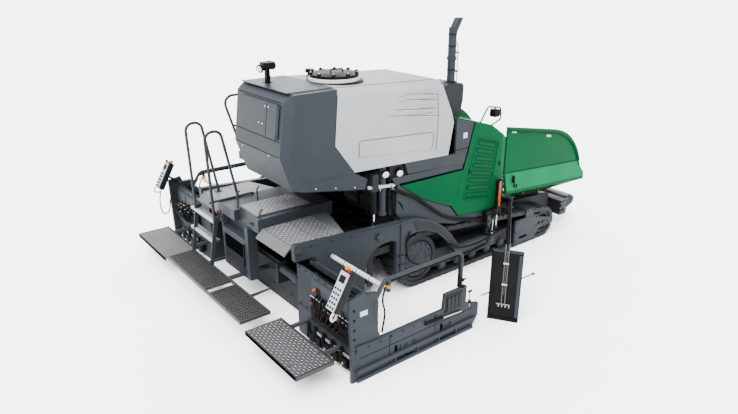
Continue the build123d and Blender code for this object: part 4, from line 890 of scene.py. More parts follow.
# ---------------------------------------------------------------- under the tank
@dataclass
class Manifold:
    """Couplings, working lamps, pipes and hoses between tank, cradle and main frame."""

    filler: tuple[float, float] = (2150.0, -1200.0)
    filler_ends: tuple[float, float] = (1250.0, 1960.0)
    lamps: tuple[tuple[float, float], ...] = ((2164.0, 1832.0), (2406.0, 1803.0))
    wedge_side: float = -1312.0

    def build(self) -> None:
        """Make every piece under the tank."""
        self._couplings()
        self._lamps()
        self._hoses()
        self._fillers()

    def _couplings(self) -> None:
        """Chromed filling coupling with its clamp ears and the upright filler pipe."""
        chrome = Piece("filling_coupling", CHROME)
        profile = [(0, 26), (0.05, 34), (0.12, 34), (0.14, 26), (0.30, 26), (0.32, 40), (0.46, 40),
                   (0.48, 30), (0.74, 30), (0.76, 42), (0.92, 42), (0.94, 30), (1, 30)]
        chrome.turned((1900, -1235, 1690), (2320, -1235, 1640), profile)
        for x in (2040, 2240):
            chrome.pipe([(x, -1270, 1680), (x + 10, -1290, 1640), (x + 4, -1275, 1600)], 6, 14, 8)
        chrome.done()
        pipe = Piece("filler_pipe", SLATE)
        (x, y), (low, high) = self.filler, self.filler_ends
        pipe.turned((x, y, low), (x, y, high), [(0, 62), (0.05, 62), (0.06, 48), (0.5, 48), (0.51, 62),
                                                (0.56, 62), (0.57, 48), (1, 48)], 22)
        pipe.bolts(circle((x, y, 1650), 52, 8), UP, 6, 6).done(2)

    def _lamps(self) -> None:
        """Two white working lamps under the shell."""
        shade = Piece("work_lamp_cases", BLACK)
        glass = Piece("work_lamp_lenses", LENS)
        for x, z in self.lamps:
            shade.turned((x, -1212, z + 12), (x - 20, -1282, z), [(0, 30), (0.35, 46), (1, 52)], 20)
            glass.turned((x - 19, -1280, z), (x - 22, -1290, z - 1), [(0, 46), (0.6, 42), (1, 24)], 20)
            shade.box(x - 8, x + 24, -1235, -1205, z + 20, z + 70)
        shade.done()
        glass.done()

    def _hoses(self) -> None:
        """Thick black hoses along the wedge and down the cradle."""
        hoses = Piece("manifold_hoses", RUBBER)
        side = self.wedge_side
        hoses.hose([(2276, side + 20, 1600), (2470, side + 2, 1500), (2670, side, 1395),
                    (2943, side, 1190), (3231, side, 985), (3560, side, 850), (3994, side + 12, 742),
                    (4060, -1240, 700)], 25, 12)
        hoses.hose([(2310, -1235, 1600), (2300, -1250, 1440), (2310, -1262, 1290), (2400, -1268, 1140),
                    (2600, -1268, 1050), (2763, -1268, 1010), (2900, -1250, 980)], 20, 12)
        for y, drop in ((-1150, 0), (-1090, 40), (-1030, 90)):
            hoses.hose([(2010, y, 1700), (1960, y - 30, 1480 - drop), (2080, y - 20, 1300 - drop),
                        (2300, y - 40, 1240 - drop)], 15, 8)
        for z, y in ((1540, -1180), (1480, -1210), (1420, -1190)):
            hoses.hose([(2250, y, z), (2350, y - 40, z - 60), (2440, y - 60, z - 150),
                        (2480, y - 30, z - 260)], 12, 8)
        hoses.done()
        ends = Piece("hose_ends", STEEL)
        for start, end in (((2276, -1292, 1600), (2255, -1270, 1625)),
                           ((2310, -1235, 1600), (2306, -1230, 1640))):
            ends.turned(start, end, [(0, 20), (0.4, 20), (0.42, 25), (1, 25)], 6)
        ends.done()

    def _fillers(self) -> None:
        """Pump, valve block and brackets seen between the cradle's legs."""
        pump = Piece("emulsion_pump", BLACK)
        pump.turned((2060, -900, 1380), (2060, -560, 1380),
                    [(0, 90), (0.1, 120), (0.6, 120), (0.62, 80), (1, 80)])
        pump.box(1960, 2180, -1130, -960, 1330, 1520).box(2000, 2240, -1100, -980, 1560, 1700)
        pump.box(2290, 2420, -1220, -1120, 1560, 1730).done(6)
        valves = Piece("valve_caps", STEEL)
        valves.bolts([(2020 + 60 * k, -1131, z) for k in range(3) for z in (1370, 1450)], RIGHT, 16, 26)
        valves.done()


# ---------------------------------------------------------------- platform and exhaust
@dataclass
class Platform:
    """Seats, desk fittings, rail clamps and exhaust trim."""

    deck: float = 1650.0
    seat_sides: tuple[float, float] = (170.0, 940.0)
    stack: tuple[float, float] = (3600.0, -940.0)

    def build(self) -> None:
        """Make every piece of the platform and the exhaust."""
        self._seats()
        self._desk()
        self._rails()
        self._exhaust()

    def _seats(self) -> None:
        """Padded seats with arm rests, in place of the plain ones."""
        made = []
        for name, y in zip(("right", "left"), self.seat_sides):
            cushion = Piece(f"seat_cushion_{name}", SEAT)
            cushion.plate("y", [(1790, self.deck + 312), (2215, self.deck + 312), (2236, self.deck + 350),
                                (2220, self.deck + 396), (1790, self.deck + 396)], y - 214, y + 214)
            made.append(cushion.done(14))
            back = Piece(f"seat_back_{name}", SEAT)
            back.plate("y", [(1768, self.deck + 402), (1852, self.deck + 402), (1806, self.deck + 930),
                             (1770, self.deck + 956), (1708, self.deck + 950)], y - 196, y + 196)
            made.append(back.done(16))
            base = Piece(f"seat_base_{name}", PLASTIC)
            base.box(1950, 2060, y - 60, y + 60, self.deck, self.deck + 250)
            base.box(1860, 2160, y - 150, y + 150, self.deck + 250, self.deck + 300)
            for arm in (-1, 1):
                rest = y + arm * 232
                base.box(1830, 2130, rest - 28, rest + 28, self.deck + 560, self.deck + 596)
                base.box(1830, 1870, rest - 20, rest + 20, self.deck + 420, self.deck + 570)
            made.append(base.done(5))
        for item in made:
            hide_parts("operator_seats")

    def _desk(self) -> None:
        """Panels, screens, levers and knobs of the desk."""
        top = self.deck + 900
        panel = Piece("desk_panel", BLACK)
        screen = Piece("desk_screen", LENS)
        for y in (240, 860):
            panel.plate("y", [(2640, top - 20), (2850, top + 100), (2842, top + 118), (2632, top - 2)],
                        y - 150, y + 150)
            screen.plate("y", [(2670, top + 20), (2780, top + 83), (2777, top + 89), (2667, top + 26)],
                         y - 80, y + 80)
        panel.done(3)
        screen.done(2)
        sticks = Piece("desk_levers", BLACK)
        knobs = Piece("desk_knobs", ORANGE)
        for y in (130, 350, 750, 970):
            sticks.rod((2720, y, top + 40), (2705, y, top + 130), 8)
            sticks.turned((2706, y, top + 120), (2700, y, top + 160),
                          [(0, 12), (0.3, 24), (0.8, 24), (1, 8)], 14)
            knobs.cap((2660, y + 30, top + 16), (2650, y + 30, top + 34), 14, 9, 0.7, 12)
        sticks.done()
        knobs.done()

    def _rails(self) -> None:
        """Feet of the rails, kick plates and mat of the deck."""
        feet = Piece("rail_feet", SLATE)
        posts = (1360, 1900, 2600, 3340)
        for x in posts:
            feet.cone((x, 1180, self.deck), (x, 1180, self.deck + 14), 44, 44, 16)
            feet.cone((x, 1180, self.deck + 14), (x, 1180, self.deck + 60), 27, 25, 16)
        feet.bolts([p for x in posts for p in circle((x, 1180, self.deck + 14), 34, 4, 45)], UP, 6, 6)
        feet.done()
        kick = Piece("kick_plates", SLATE)
        kick.box(1300, 3400, 1208, 1216, self.deck, self.deck + 90)
        kick.box(1300, 1308, 300, 1216, self.deck, self.deck + 90).done(1.5)
        Piece("deck_mat", TREAD).box(1320, 3380, -50, 1200, self.deck, self.deck + 4).done()

    def _exhaust(self) -> None:
        """Rings round the exhaust, its thin drain pipe, and its clips and bolts."""
        x, y = self.stack
        pipe = Piece("exhaust_guard", BLACK)
        for z in (2832, 3000, 3140, 3320, 3480):
            pipe.cone((x, y, z), (x, y, z + 14), 64, 64, 24)
        pipe.cap((x, y, 2828), (x, y, 2846), 92, 70, 0.6, 28).done(1)
        side = Piece("exhaust_drain", CHROME)
        side.pipe([(x + 120, y, 2800), (x + 120, y, 3330), (x + 75, y, 3380)], 9, 40, 10).done()
        clips = Piece("exhaust_clips", SLATE)
        for z in (2960, 3220):
            clips.box(x + 40, x + 130, y - 12, y + 12, z, z + 24)
        clips.bolts([(x, -1010, z) for z in (2520, 2760)] + [(x + 160, -1010, 2500)], RIGHT, 10, 8)
        clips.done(2)


# ---------------------------------------------------------------- hopper, push beam
@dataclass
class Hopper:
    """Band painted lighter as a highlight, rim and floor leaf painted in shade, slots and latch of both
    wings, bolts of the push beam.
    """

    rear: float = 4640.0
    hinge: float = 740.0
    tilt: float = 4.3
    fold: float = 295.0
    band: float = 590.0
    half: float = 1285.0

    def build(self) -> None:
        """Make every piece of the hopper's trim."""
        for name, side in SIDES:
            self._band(name, side)
            self._rim(name, side)
            self._fittings(name, side)
        self._push_beam()

    def _place(self, along: float, side: float, up: float) -> Point:
        """Point measured along and square to the drooping hinge line.

        Args:
            along: distance along the line from its rear end.
            side: distance from the machine's middle, left is positive.
            up: distance square to the line.

        Returns:
            The point in millimetres.
        """
        lean = math.radians(self.tilt)
        return (self.rear + along * math.cos(lean) + up * math.sin(lean), side,
                self.hinge - along * math.sin(lean) + up * math.cos(lean))

    def _face(self, up: float) -> float:
        """Distance of the band's face from the middle at a height above the hinge line."""
        return self.half - 60 * max(0.0, up - self.fold - 10) / (self.band - self.fold - 10)

    def _band(self, name: str, side: int) -> None:
        """Band over the fold painted lighter as a highlight, and the floor leaf under it painted in shade.

        Args:
            name: side's name.
            side: -1 for the right, 1 for the left.
        """
        body = f"hopper_wing_{name}"
        outline = [(-50, 309), (1000, 309), (2028, 309), (2030, 372), (1942, 486), (1904, 585),
                   (900, 586), (-70, 586)]
        # painted highlight: the band is lighter where it tilts up towards the light
        band = Piece(f"wing_band_highlight_{name}", GREEN_PAINTED_HIGHLIGHT, body)
        band.skin([self._place(a, side * (self._face(w) + 2.5), w) for a, w in outline],
                  [self._place(a, side * (self._face(w) - 1), w) for a, w in outline]).done()
        # painted shade under the wing
        leaf = Piece(f"wing_leaf_shade_{name}", GREEN_PAINTED_SHADE, body)
        under = [(-34, -28), (1570, -28), (2020, 258), (-56, 258)]
        spread = [(a, side * (800 + (w + 30) / self.fold * 485), w) for a, w in under]
        leaf.skin([self._place(a, out, w - 4) for a, out, w in spread],
                  [self._place(a, out, w + 1) for a, out, w in spread]).done()

    def _bead(self, side: float, up: float, alongs: Sequence[float]) -> list[Vector]:
        """Path of a bead that keeps its distance from the hinge line."""
        return [at(*self._place(along, side, up)) for along in alongs]

    def _rim(self, name: str, side: int) -> None:
        """Beads of painted shade along the rolled rim and the band's top, and a green bead along its lower
        fold.

        Args:
            name: side's name.
            side: -1 for the right, 1 for the left.
        """
        body = f"hopper_wing_{name}"
        # painted shade lines along the rim and the band's top
        rim = Piece(f"wing_rim_shade_{name}", GREEN_PAINTED_SHADE, body)
        arc = [(4612, 2022), (5780, 1812), (5960, 1760), (6160, 1660), (6330, 1530), (6460, 1380),
               (6540, 1220), (6585, 1090)]
        rim.sweep([at(x, side * 1246, z) for x, z in arc], 8, 8)
        rim.sweep(self._bead(side * 1228, 596, (-70, 900, 1895)), 6, 8).done()
        edge = Piece(f"wing_edge_{name}", GREEN, body)
        edge.sweep(self._bead(side * (self.half - 2), 302, (-50, 1000, 2030)), 9, 8)
        edge.done()

    def _fittings(self, name: str, side: int) -> None:
        """Pale slots under the rim, the black latch and cleats on the floor leaf.

        Args:
            name: side's name.
            side: -1 for the right, 1 for the left.
        """
        body = f"hopper_wing_{name}"
        slots = Piece(f"wing_slots_{name}", WHITE_AND_HIGHLIGHT, body)
        for x, z in ((4746, 1992), (5633, 1786)):
            corners = [(x - 62, z + 6), (x - 50, z - 16), (x + 50, z - 34), (x + 62, z - 18),
                       (x + 50, z + 2), (x - 50, z + 20)]
            slots.plate("y", corners, *span(side, 1224, 1230))
        slots.done(1)
        latch = Piece(f"wing_latch_{name}", BLACK, body)
        outer = side * 1300
        latch.pipe([(4752, side * 1282, 1268), (4752, outer, 1262), (4766, outer, 1120),
                    (4800, outer, 1084), (4838, outer, 1104), (4842, side * 1288, 1130)], 11, 22, 10)
        latch.box(4728, 4778, *span(side, 1276, 1296), 1180, 1290).done(3)
        teeth = Piece(f"wing_lip_{name}", SLATE_DARK, body)
        for x in (4700, 5100, 5500, 5900):
            z = self.hinge - (x - self.rear) * 0.075 + 210
            teeth.box(x, x + 46, *span(side, 1180, 1206), z - 32, z - 6)
        teeth.done(3)

    def _push_beam(self) -> None:
        """Bolts, end plates and slots of the push beam, and rings of its rollers."""
        beam = Piece("push_beam_bolts", STEEL, "push_beam")
        for side in (-1, 1):
            beam.bolts([(6360 + 60 * k, side * 1120, z) for k in (0, 2) for z in (210, 300, 400)],
                       (0, side, 0), 12, 9)
            beam.bolts([(6690, side * 1121, 400)], (0, side, 0), 30, 16)
        beam.done()
        plates = Piece("push_beam_plates", SLATE, "push_beam")
        for side in (-1, 1):
            plates.plate("y", [(6380, 190), (6520, 190), (6520, 330), (6480, 420), (6380, 420)],
                         *span(side, 1118, 1128))
        plates.box(6400, 6500, -1000, 1000, 438, 446).done(4)
        slot = Piece("push_beam_slots", DARK_JOINTS_AND_SHADE, "push_beam")
        for side in (-1, 1):
            slot.box(6402, 6440, *span(side, 1127, 1130), 240, 290)
        slot.done()
        for name, side in SIDES:
            rings = Piece(f"push_roller_rings_{name}", SLATE, f"push_roller_{name}")
            for y0, y1 in ((1073, 1066), (327, 334)):
                rings.cone((6690, side * y0, 400), (6690, side * y1, 400), 58, 62, 28)
            rings.done(1)


# ---------------------------------------------------------------- crawler tracks
@dataclass
class Undercarriage:
    """Hubs, roller caps and guard trim of both crawlers."""

    sprocket: tuple[float, float] = (2780.0, 420.0)
    idler: tuple[float, float] = (5660.0, 270.0)
    rollers: int = 7
    roller_height: float = 155.3

    def build(self) -> None:
        """Make every piece of the undercarriage's trim."""
        self._hubs()
        self._rollers()
        self._guards()

    def _hubs(self) -> None:
        """Final drive covers with their bolts, and the idlers' caps."""
        x, z = self.sprocket
        drive = Piece("final_drives", SLATE)
        drive.turned((x, -1236, z), (x, -1272, z),
                     [(0, 270), (0.2, 276), (0.75, 262), (0.8, 196), (1, 186)], 40)
        drive.cap((x, -1270, z), (x, -1279, z), 96, 84, 0.8, 28).done(both=True)
        bolts = Piece("final_drive_bolts", FRAME)
        for face, radius, count, size in ((-1267, 232, 14, 12), (-1272, 146, 10, 10)):
            bolts.bolts(circle((x, face, z), radius, count, upright=True), RIGHT, size, 8)
        bolts.done(both=True)
        x, z = self.idler
        Piece("idler_caps", SLATE).cap((x, -1254, z), (x, -1268, z), 88, 78, 0.8, 26).done(both=True)

    def _rollers(self) -> None:
        """Caps of the bottom rollers and the rails over them."""
        caps = Piece("roller_caps", SLATE)
        for index in range(self.rollers):
            x = 3300 + index * 2000 / (self.rollers - 1)
            caps.cap((x, -1234, self.roller_height), (x, -1246, self.roller_height), 52, 40, 0.8, 20)
        caps.done(both=True)
        rail = Piece("roller_rails", SLATE_DARK)
        rail.box(3240, 5300, -1222, -1212, 250, 268)
        for x in range(3360, 5300, 330):
            rail.box(x, x + 14, -1222, -1212, 268, 340)
        rail.done(2, both=True)

    def _guards(self) -> None:
        """Bolts, painted shade in the yoke holes and stiffeners of the track guards."""
        face = -1301
        bolts = Piece("guard_bolts", BLACK)
        places = [(x, face, z) for x in (4920, 5440) for z in (110, 270, 430)]
        places += [(x, face, z) for x, z in ((5190, 590), (5310, 590), (5600, 275), (5760, 275))]
        bolts.bolts(places, RIGHT, 12, 9).done(both=True)
        # painted shade in the guard's holes
        holes = Piece("guard_hole_shade", DARK_JOINTS_AND_SHADE)
        holes.cone((5510, face + 2, 300), (5510, face - 2, 300), 26, 26, 20)
        holes.box(5570, 5680, face - 2, face + 2, 292, 306)
        holes.box(5010, 5212, face + 4, face + 12, 132, 174)
        holes.done(both=True)
        strip = Piece("guard_strips", SLATE)
        strip.box(4888, 5472, face - 6, face + 1, 452, 470).box(4888, 4902, face - 6, face + 1, 66, 452)
        strip.box(5600, 5780, face - 6, face + 1, 222, 240).box(5600, 5780, face - 6, face + 1, 312, 328)
        strip.done(2, both=True)


# ---------------------------------------------------------------- levelling cylinders and spray boards
@dataclass
class Levelling:
    """Scale bars, rod, pipes and valves of the levelling cylinders over both tow points."""

    station: float = 4345.0
    side: float = -1330.0

    def build(self) -> None:
        """Make every piece of the levelling gear."""
        x, y = self.station, self.side
        Piece("levelling_bars", ORANGE).box(x - 26, x + 24, y - 46, y - 36, 905, 1306).done(3, both=True)
        guide = Piece("levelling_guides", BLACK)
        guide.box(x + 34, x + 62, y - 40, y + 20, 720, 1322)
        guide.box(x - 34, x + 62, y - 44, y - 20, 1296, 1326).box(x - 40, x + 50, y - 46, y + 30, 866, 902)
        guide.done(3, both=True)
        rod = Piece("levelling_rods", CHROME)
        rod.rod((x, y - 5, 560), (x, y - 5, 752), 17)
        rod.rod((x - 120, y - 44, 430), (x - 120, y - 44, 700), 9).done(both=True)
        block = Piece("levelling_valves", SLATE_DARK)
        block.turned((x, y - 5, 520), (x, y - 5, 562), [(0, 26), (0.3, 34), (0.8, 34), (1, 24)], 16)
        block.box(4096, 4168, y - 52, y - 38, 560, 800)
        block.box(4178, 4250, y - 40, y + 10, 640, 730)
        for z in (600, 700):
            block.cap((4132, y - 50, z), (4132, y - 66, z), 22, 14, 0.6, 8)
        block.done(3, both=True)
        hose = Piece("levelling_hoses", RUBBER)
        for shift in (0, 26):
            hose.hose([(4210 + shift, y - 30, 730), (4230 + shift, y - 52, 830),
                       (4300 - shift, y - 50, 880), (4318, y - 44, 960 + shift)], 8, 8)
        hose.hose([(4000, y - 10, 700), (4080, y - 56, 660), (4180, y - 60, 520), (4300, y - 40, 520)],
                  10, 8)
        hose.done(both=True)


@dataclass
class SprayBoard:
    """Lances, edges and foot of one spray board that is turned outboard."""

    name: str
    sign: int
    station: float = 3020.0
    side: float = 2665.0
    turn: float = 57.0

    def build(self) -> None:
        """Make every piece of the board's trim."""
        lances = self._piece("spray_lances", STEEL)
        for across in (-14, 30):
            lances.sweep([self._at(across, 20, z) for z in (240, 600, 980, 1090)], 8, 10)
        lances.sweep([self._at(-80, 22, 236), self._at(96, 22, 236)], 11, 10)
        lances.sweep([self._at(8, 18, 380), self._at(8, 18, 1000)], 5, 8).done()
        strip = self._piece("spray_strips", SLATE)
        self._slab(strip, -190, -150, 13, 22, 60, 960)
        self._slab(strip, -196, 196, 13, 18, 980, 1006)
        strip.done(2)
        foot = self._piece("spray_feet", RUBBER)
        self._slab(foot, -190, 190, 12, 29, 32, 46)
        self._slab(foot, 176, 196, 11, 22, 30, 1000)
        foot.done(2)
        nozzles = self._piece("spray_nozzles", CHROME)
        for across in (-70, -25, 20, 65):
            nozzles.sweep([self._at(across, 22, 236), self._at(across, 22, 196)], 7, 8)
        for z in (520, 820):
            self._slab(nozzles, -26, 44, 12, 30, z, z + 22)
        nozzles.done(1)
        gauge, y = self._piece("gauge_rods", STEEL), self.sign * 2500
        gauge.rod((2765, y, 376), (3830, y, 353), 9)
        gauge.turned((3800, y, 354), (3842, y, 353), [(0, 9), (0.1, 17), (1, 17)], 12)
        gauge.done()
        arm = self._piece("spray_arm_hose", RUBBER)
        start, end = (3110, 2610, 985), (4420, 1540, 985)
        arm.sweep([self._turned(start, 0), self._turned(start, 0.33, end, 22),
                   self._turned(start, 0.66, end, -8), self._turned(start, 1, end)], 10, 8).done()

    def _piece(self, name: str, finish: Finish) -> Piece:
        """Start a piece on this board."""
        return Piece(f"{name}_{self.name}", finish, f"spray_board_{self.name}")

    def _at(self, across: float, out: float, z: float) -> Vector:
        """Point measured across the board and out of its rear face.

        Args:
            across: distance across from the board's middle line.
            out: distance rearward from its middle plane.
            z: height.

        Returns:
            The point in the row frame.
        """
        lean = math.radians(90 - self.turn)
        x = self.station - out * math.cos(lean) - across * math.sin(lean)
        y = -self.side - out * math.sin(lean) + across * math.cos(lean)
        return at(x, -self.sign * y, z)

    def _turned(self, start: Point, share: float, end: Point = (0, 0, 0), rise: float = 0.0) -> Vector:
        """Point part of the way along the arm."""
        x, y, z = (a + (b - a) * share for a, b in zip(start, end))
        return at(x, self.sign * y, z + rise)

    def _slab(self, piece: Piece, a0: float, a1: float, near: float, far: float, z0: float,
              z1: float) -> None:
        """Block on the board's rear face, with its ends across, its depths and its heights."""
        ring = [(a0, near), (a1, near), (a1, far), (a0, far)]
        piece.close([[piece.mesh.verts.new(self._at(a, out, z)) for a, out in ring] for z in (z0, z1)])


# ---------------------------------------------------------------- screed
@dataclass
class Screed:
    """Trim of the basic screed, its walkway, treads, tow arms and steps."""

    arm_outer: float = 1365.0
    tread: float = 1200.0
    middle_tread: float = 1350.0
    grating: float = 372.0

    def build(self) -> None:
        """Make every piece of the screed's trim."""
        self._treads()
        self._well()
        self._arms()
        self._heaters()
        self._steps()
        self._gratings()

    def _treads(self) -> None:
        """Chequer lozenges, seams and bolts of the treads."""
        studs = Piece("tread_studs", STUD, "screed")
        studs.studs(720, 1440, -1270, -550, self.tread).studs(720, 1440, 550, 1270, self.tread)
        studs.studs(700, 1490, -430, 40, self.middle_tread).done()
        seams = Piece("tread_seams", DARK_JOINTS_AND_SHADE, "screed")
        for side in (-1, 1):
            y0, y1 = span(side, 545, 1280)
            seams.box(1075, 1081, y0, y1, self.tread - 2, self.tread + 1)
        seams.done()
        bolts = Piece("tread_bolts", STEEL, "screed")
        places = [(x, side * y, self.tread) for side in (-1, 1) for x in (740, 1050, 1110, 1430)
                  for y in (570, 1255)]
        places += [(x, y, self.middle_tread) for x in (715, 1475) for y in (-415, 25)]
        bolts.bolts(places, UP, 9, 6).done()

    def _well(self) -> None:
        """Handles, painted shade in the recess, grille and red cap of the centre body."""
        rail = Piece("centre_handle", SLATE, "screed")
        rail.pipe([(450, 500, 1290), (470, 500, 1300), (1120, 500, 1310), (1140, 500, 1290)], 16, 30)
        for x, y, foot, rise in ((700, -500, 1330, 90), (700, 120, 1290, 210), (1000, 120, 1290, 210)):
            rail.pipe([(x, y, foot), (x, y, foot + rise), (x + 40, y, foot + rise + 30)], 11, 20)
        rail.done()
        # painted shade in the centre recess
        Piece("centre_recess_shade", DARK_JOINTS_AND_SHADE, "screed").box(602, 628, -130, 400, 650, 850).done()
        grille = Piece("centre_grille", BLACK, "screed")
        for z in range(400, 620, 36):
            grille.box(594, 601, -200, 420, z, z + 14)
        grille.pipe([(596, -190, 880), (580, -190, 700), (590, -170, 560), (600, -100, 500)], 12, 50)
        grille.done(2)
        Piece("centre_caps", RED, "screed").cap((590, 540, 1130), (562, 540, 1130), 24, 18, 0.8, 16).done()

    def _arms(self) -> None:
        """Pins, bolts, gussets and bare name plate of the tow arms."""
        y = -self.arm_outer
        disc = Piece("arm_pivots", SLATE, "screed")
        for x, z, radius in ((730, 1170, 46), (1980, 1010, 52)):
            disc.cap((x, y + 2, z), (x, y - 14, z), radius, radius - 6, 0.8, 26)
        disc.cap((4200, y - 18, 360), (4200, y - 34, 360), 66, 56, 0.7, 26).done(both=True)
        bolts = Piece("arm_bolts", BLACK, "screed")
        places = [(x, y, 1200 - (x - 900) * 0.062) for x in (900, 1200, 1500)]
        places += [(1070 + 140 * k, y, z) for k in range(5) for z in (350, 620)]
        places += [(2330, y, z) for z in (360, 500, 640)] + [(2390, y, z) for z in (360, 500, 640)]
        bolts.bolts(places, RIGHT, 13, 11)
        bolts.bolts(circle((4200, y - 34, 360), 42, 6, upright=True), RIGHT, 8, 6).done(both=True)
        plate = Piece("arm_name_plates", SLATE_DARK, "screed")
        plate.plate("y", [(2640, 935), (2850, 910), (3050, 820), (3250, 655), (3440, 430), (3500, 460),
                          (3320, 680), (3110, 880), (2890, 1010), (2680, 1082), (2560, 1100)], y - 5,
                    y + 1)
        plate.done(2, both=True)
        rib = Piece("arm_ribs", SLATE, "screed")
        rib.plate("y", [(700, 1215), (2550, 1095), (2550, 1113), (700, 1236)], y - 10, y + 1)
        rib.box(1020, 1700, y - 12, y + 1, 330, 352)
        rib.done(2, both=True)
        hose = Piece("arm_hoses", RUBBER, "screed")
        hose.hose([(2450, y - 8, 620), (2560, y - 22, 480), (2800, y - 26, 380), (3300, y - 24, 330),
                   (3700, y - 20, 300), (4100, y - 20, 330)], 14, 10)
        hose.hose([(3300, y - 30, 560), (3442, y - 60, 471), (3837, y - 60, 433), (4243, y - 60, 489),
                   (4500, y - 40, 482), (4616, y - 20, 330)], 17, 10)
        hose.hose([(2520, y - 10, 960), (2452, y - 14, 860), (2450, y - 14, 700), (2480, y - 8, 600)],
                  10, 8)
        hose.done(both=True)

    def _heaters(self) -> None:
        """Pipes, cables and bolts along the basic screed's front and rear."""
        pipes = Piece("screed_pipes", CHROME, "screed")
        for z in (560, 610):
            pipes.pipe([(1060, -1240, z), (1060, 1240, z)], 11, 20, 10)
        pipes.done()
        cables = Piece("screed_cables", RUBBER, "screed")
        for shift in range(3):
            cables.hose([(1100 + 20 * shift, -1240, 560), (1130, -900, 640 + 30 * shift),
                         (1120, -400, 590), (1140, 100, 650 + 20 * shift), (1120, 700, 590),
                         (1100, 1230, 570)], 11, 8)
        cables.done()
        plates = Piece("screed_side_bolts", BLACK, "screed")
        plates.bolts([(1000, y, z) for y in range(-1150, 1200, 230) for z in (200, 420) if abs(y) > 60],
                     BACK, 12, 9)
        plates.done()

    def _steps(self) -> None:
        """Aluminium step treads, hoop feet and grips."""
        treads = Piece("step_treads", TREAD, "screed")
        edges = Piece("step_edges", STUD, "screed")
        for z, x in ((720, 450), (1020, 480)):
            treads.box(x + 34, x + 108, 492, 1250, z, z + 5)
            edges.box(x - 5, x + 34, 490, 1252, z - 2, z + 7)
            edges.box(x - 6, x, 490, 1252, z - 30, z + 7)
        treads.done(1)
        edges.done(2)
        feet = Piece("hoop_feet", SLATE, "screed")
        for y, z in ((495, 1290), (1130, 1200)):
            feet.box(830, 930, y - 34, y + 34, z, z + 12)
            feet.bolts([(x, y + s * 24, z + 12) for x in (845, 915) for s in (-1, 1)], UP, 7, 6)
            feet.cone((505, y, 1020), (500, y, 1075), 27, 25, 16)
        feet.done(2)

    def _gratings(self) -> None:
        """Cross bars and raised teeth of the rear walkway gratings."""
        bars = Piece("grating_bars", ZINC, "screed")
        for y0, y1 in ((-1150, -240), (-100, 1160)):
            count = int((y1 - y0) / 60)
            for index in range(1, count):
                y = y0 + index * 60
                bars.box(26, 394, y - 2, y + 2, self.grating - 26, self.grating - 2)
            for index in range(11):
                x = 25 + (index + 0.5) * 370 / 11
                for tooth in range(int((y1 - y0 - 60) / 30)):
                    y = y0 + 34 + tooth * 30
                    bars.box(x - 6, x + 6, y, y + 11, self.grating - 1, self.grating + 3)
        bars.done()


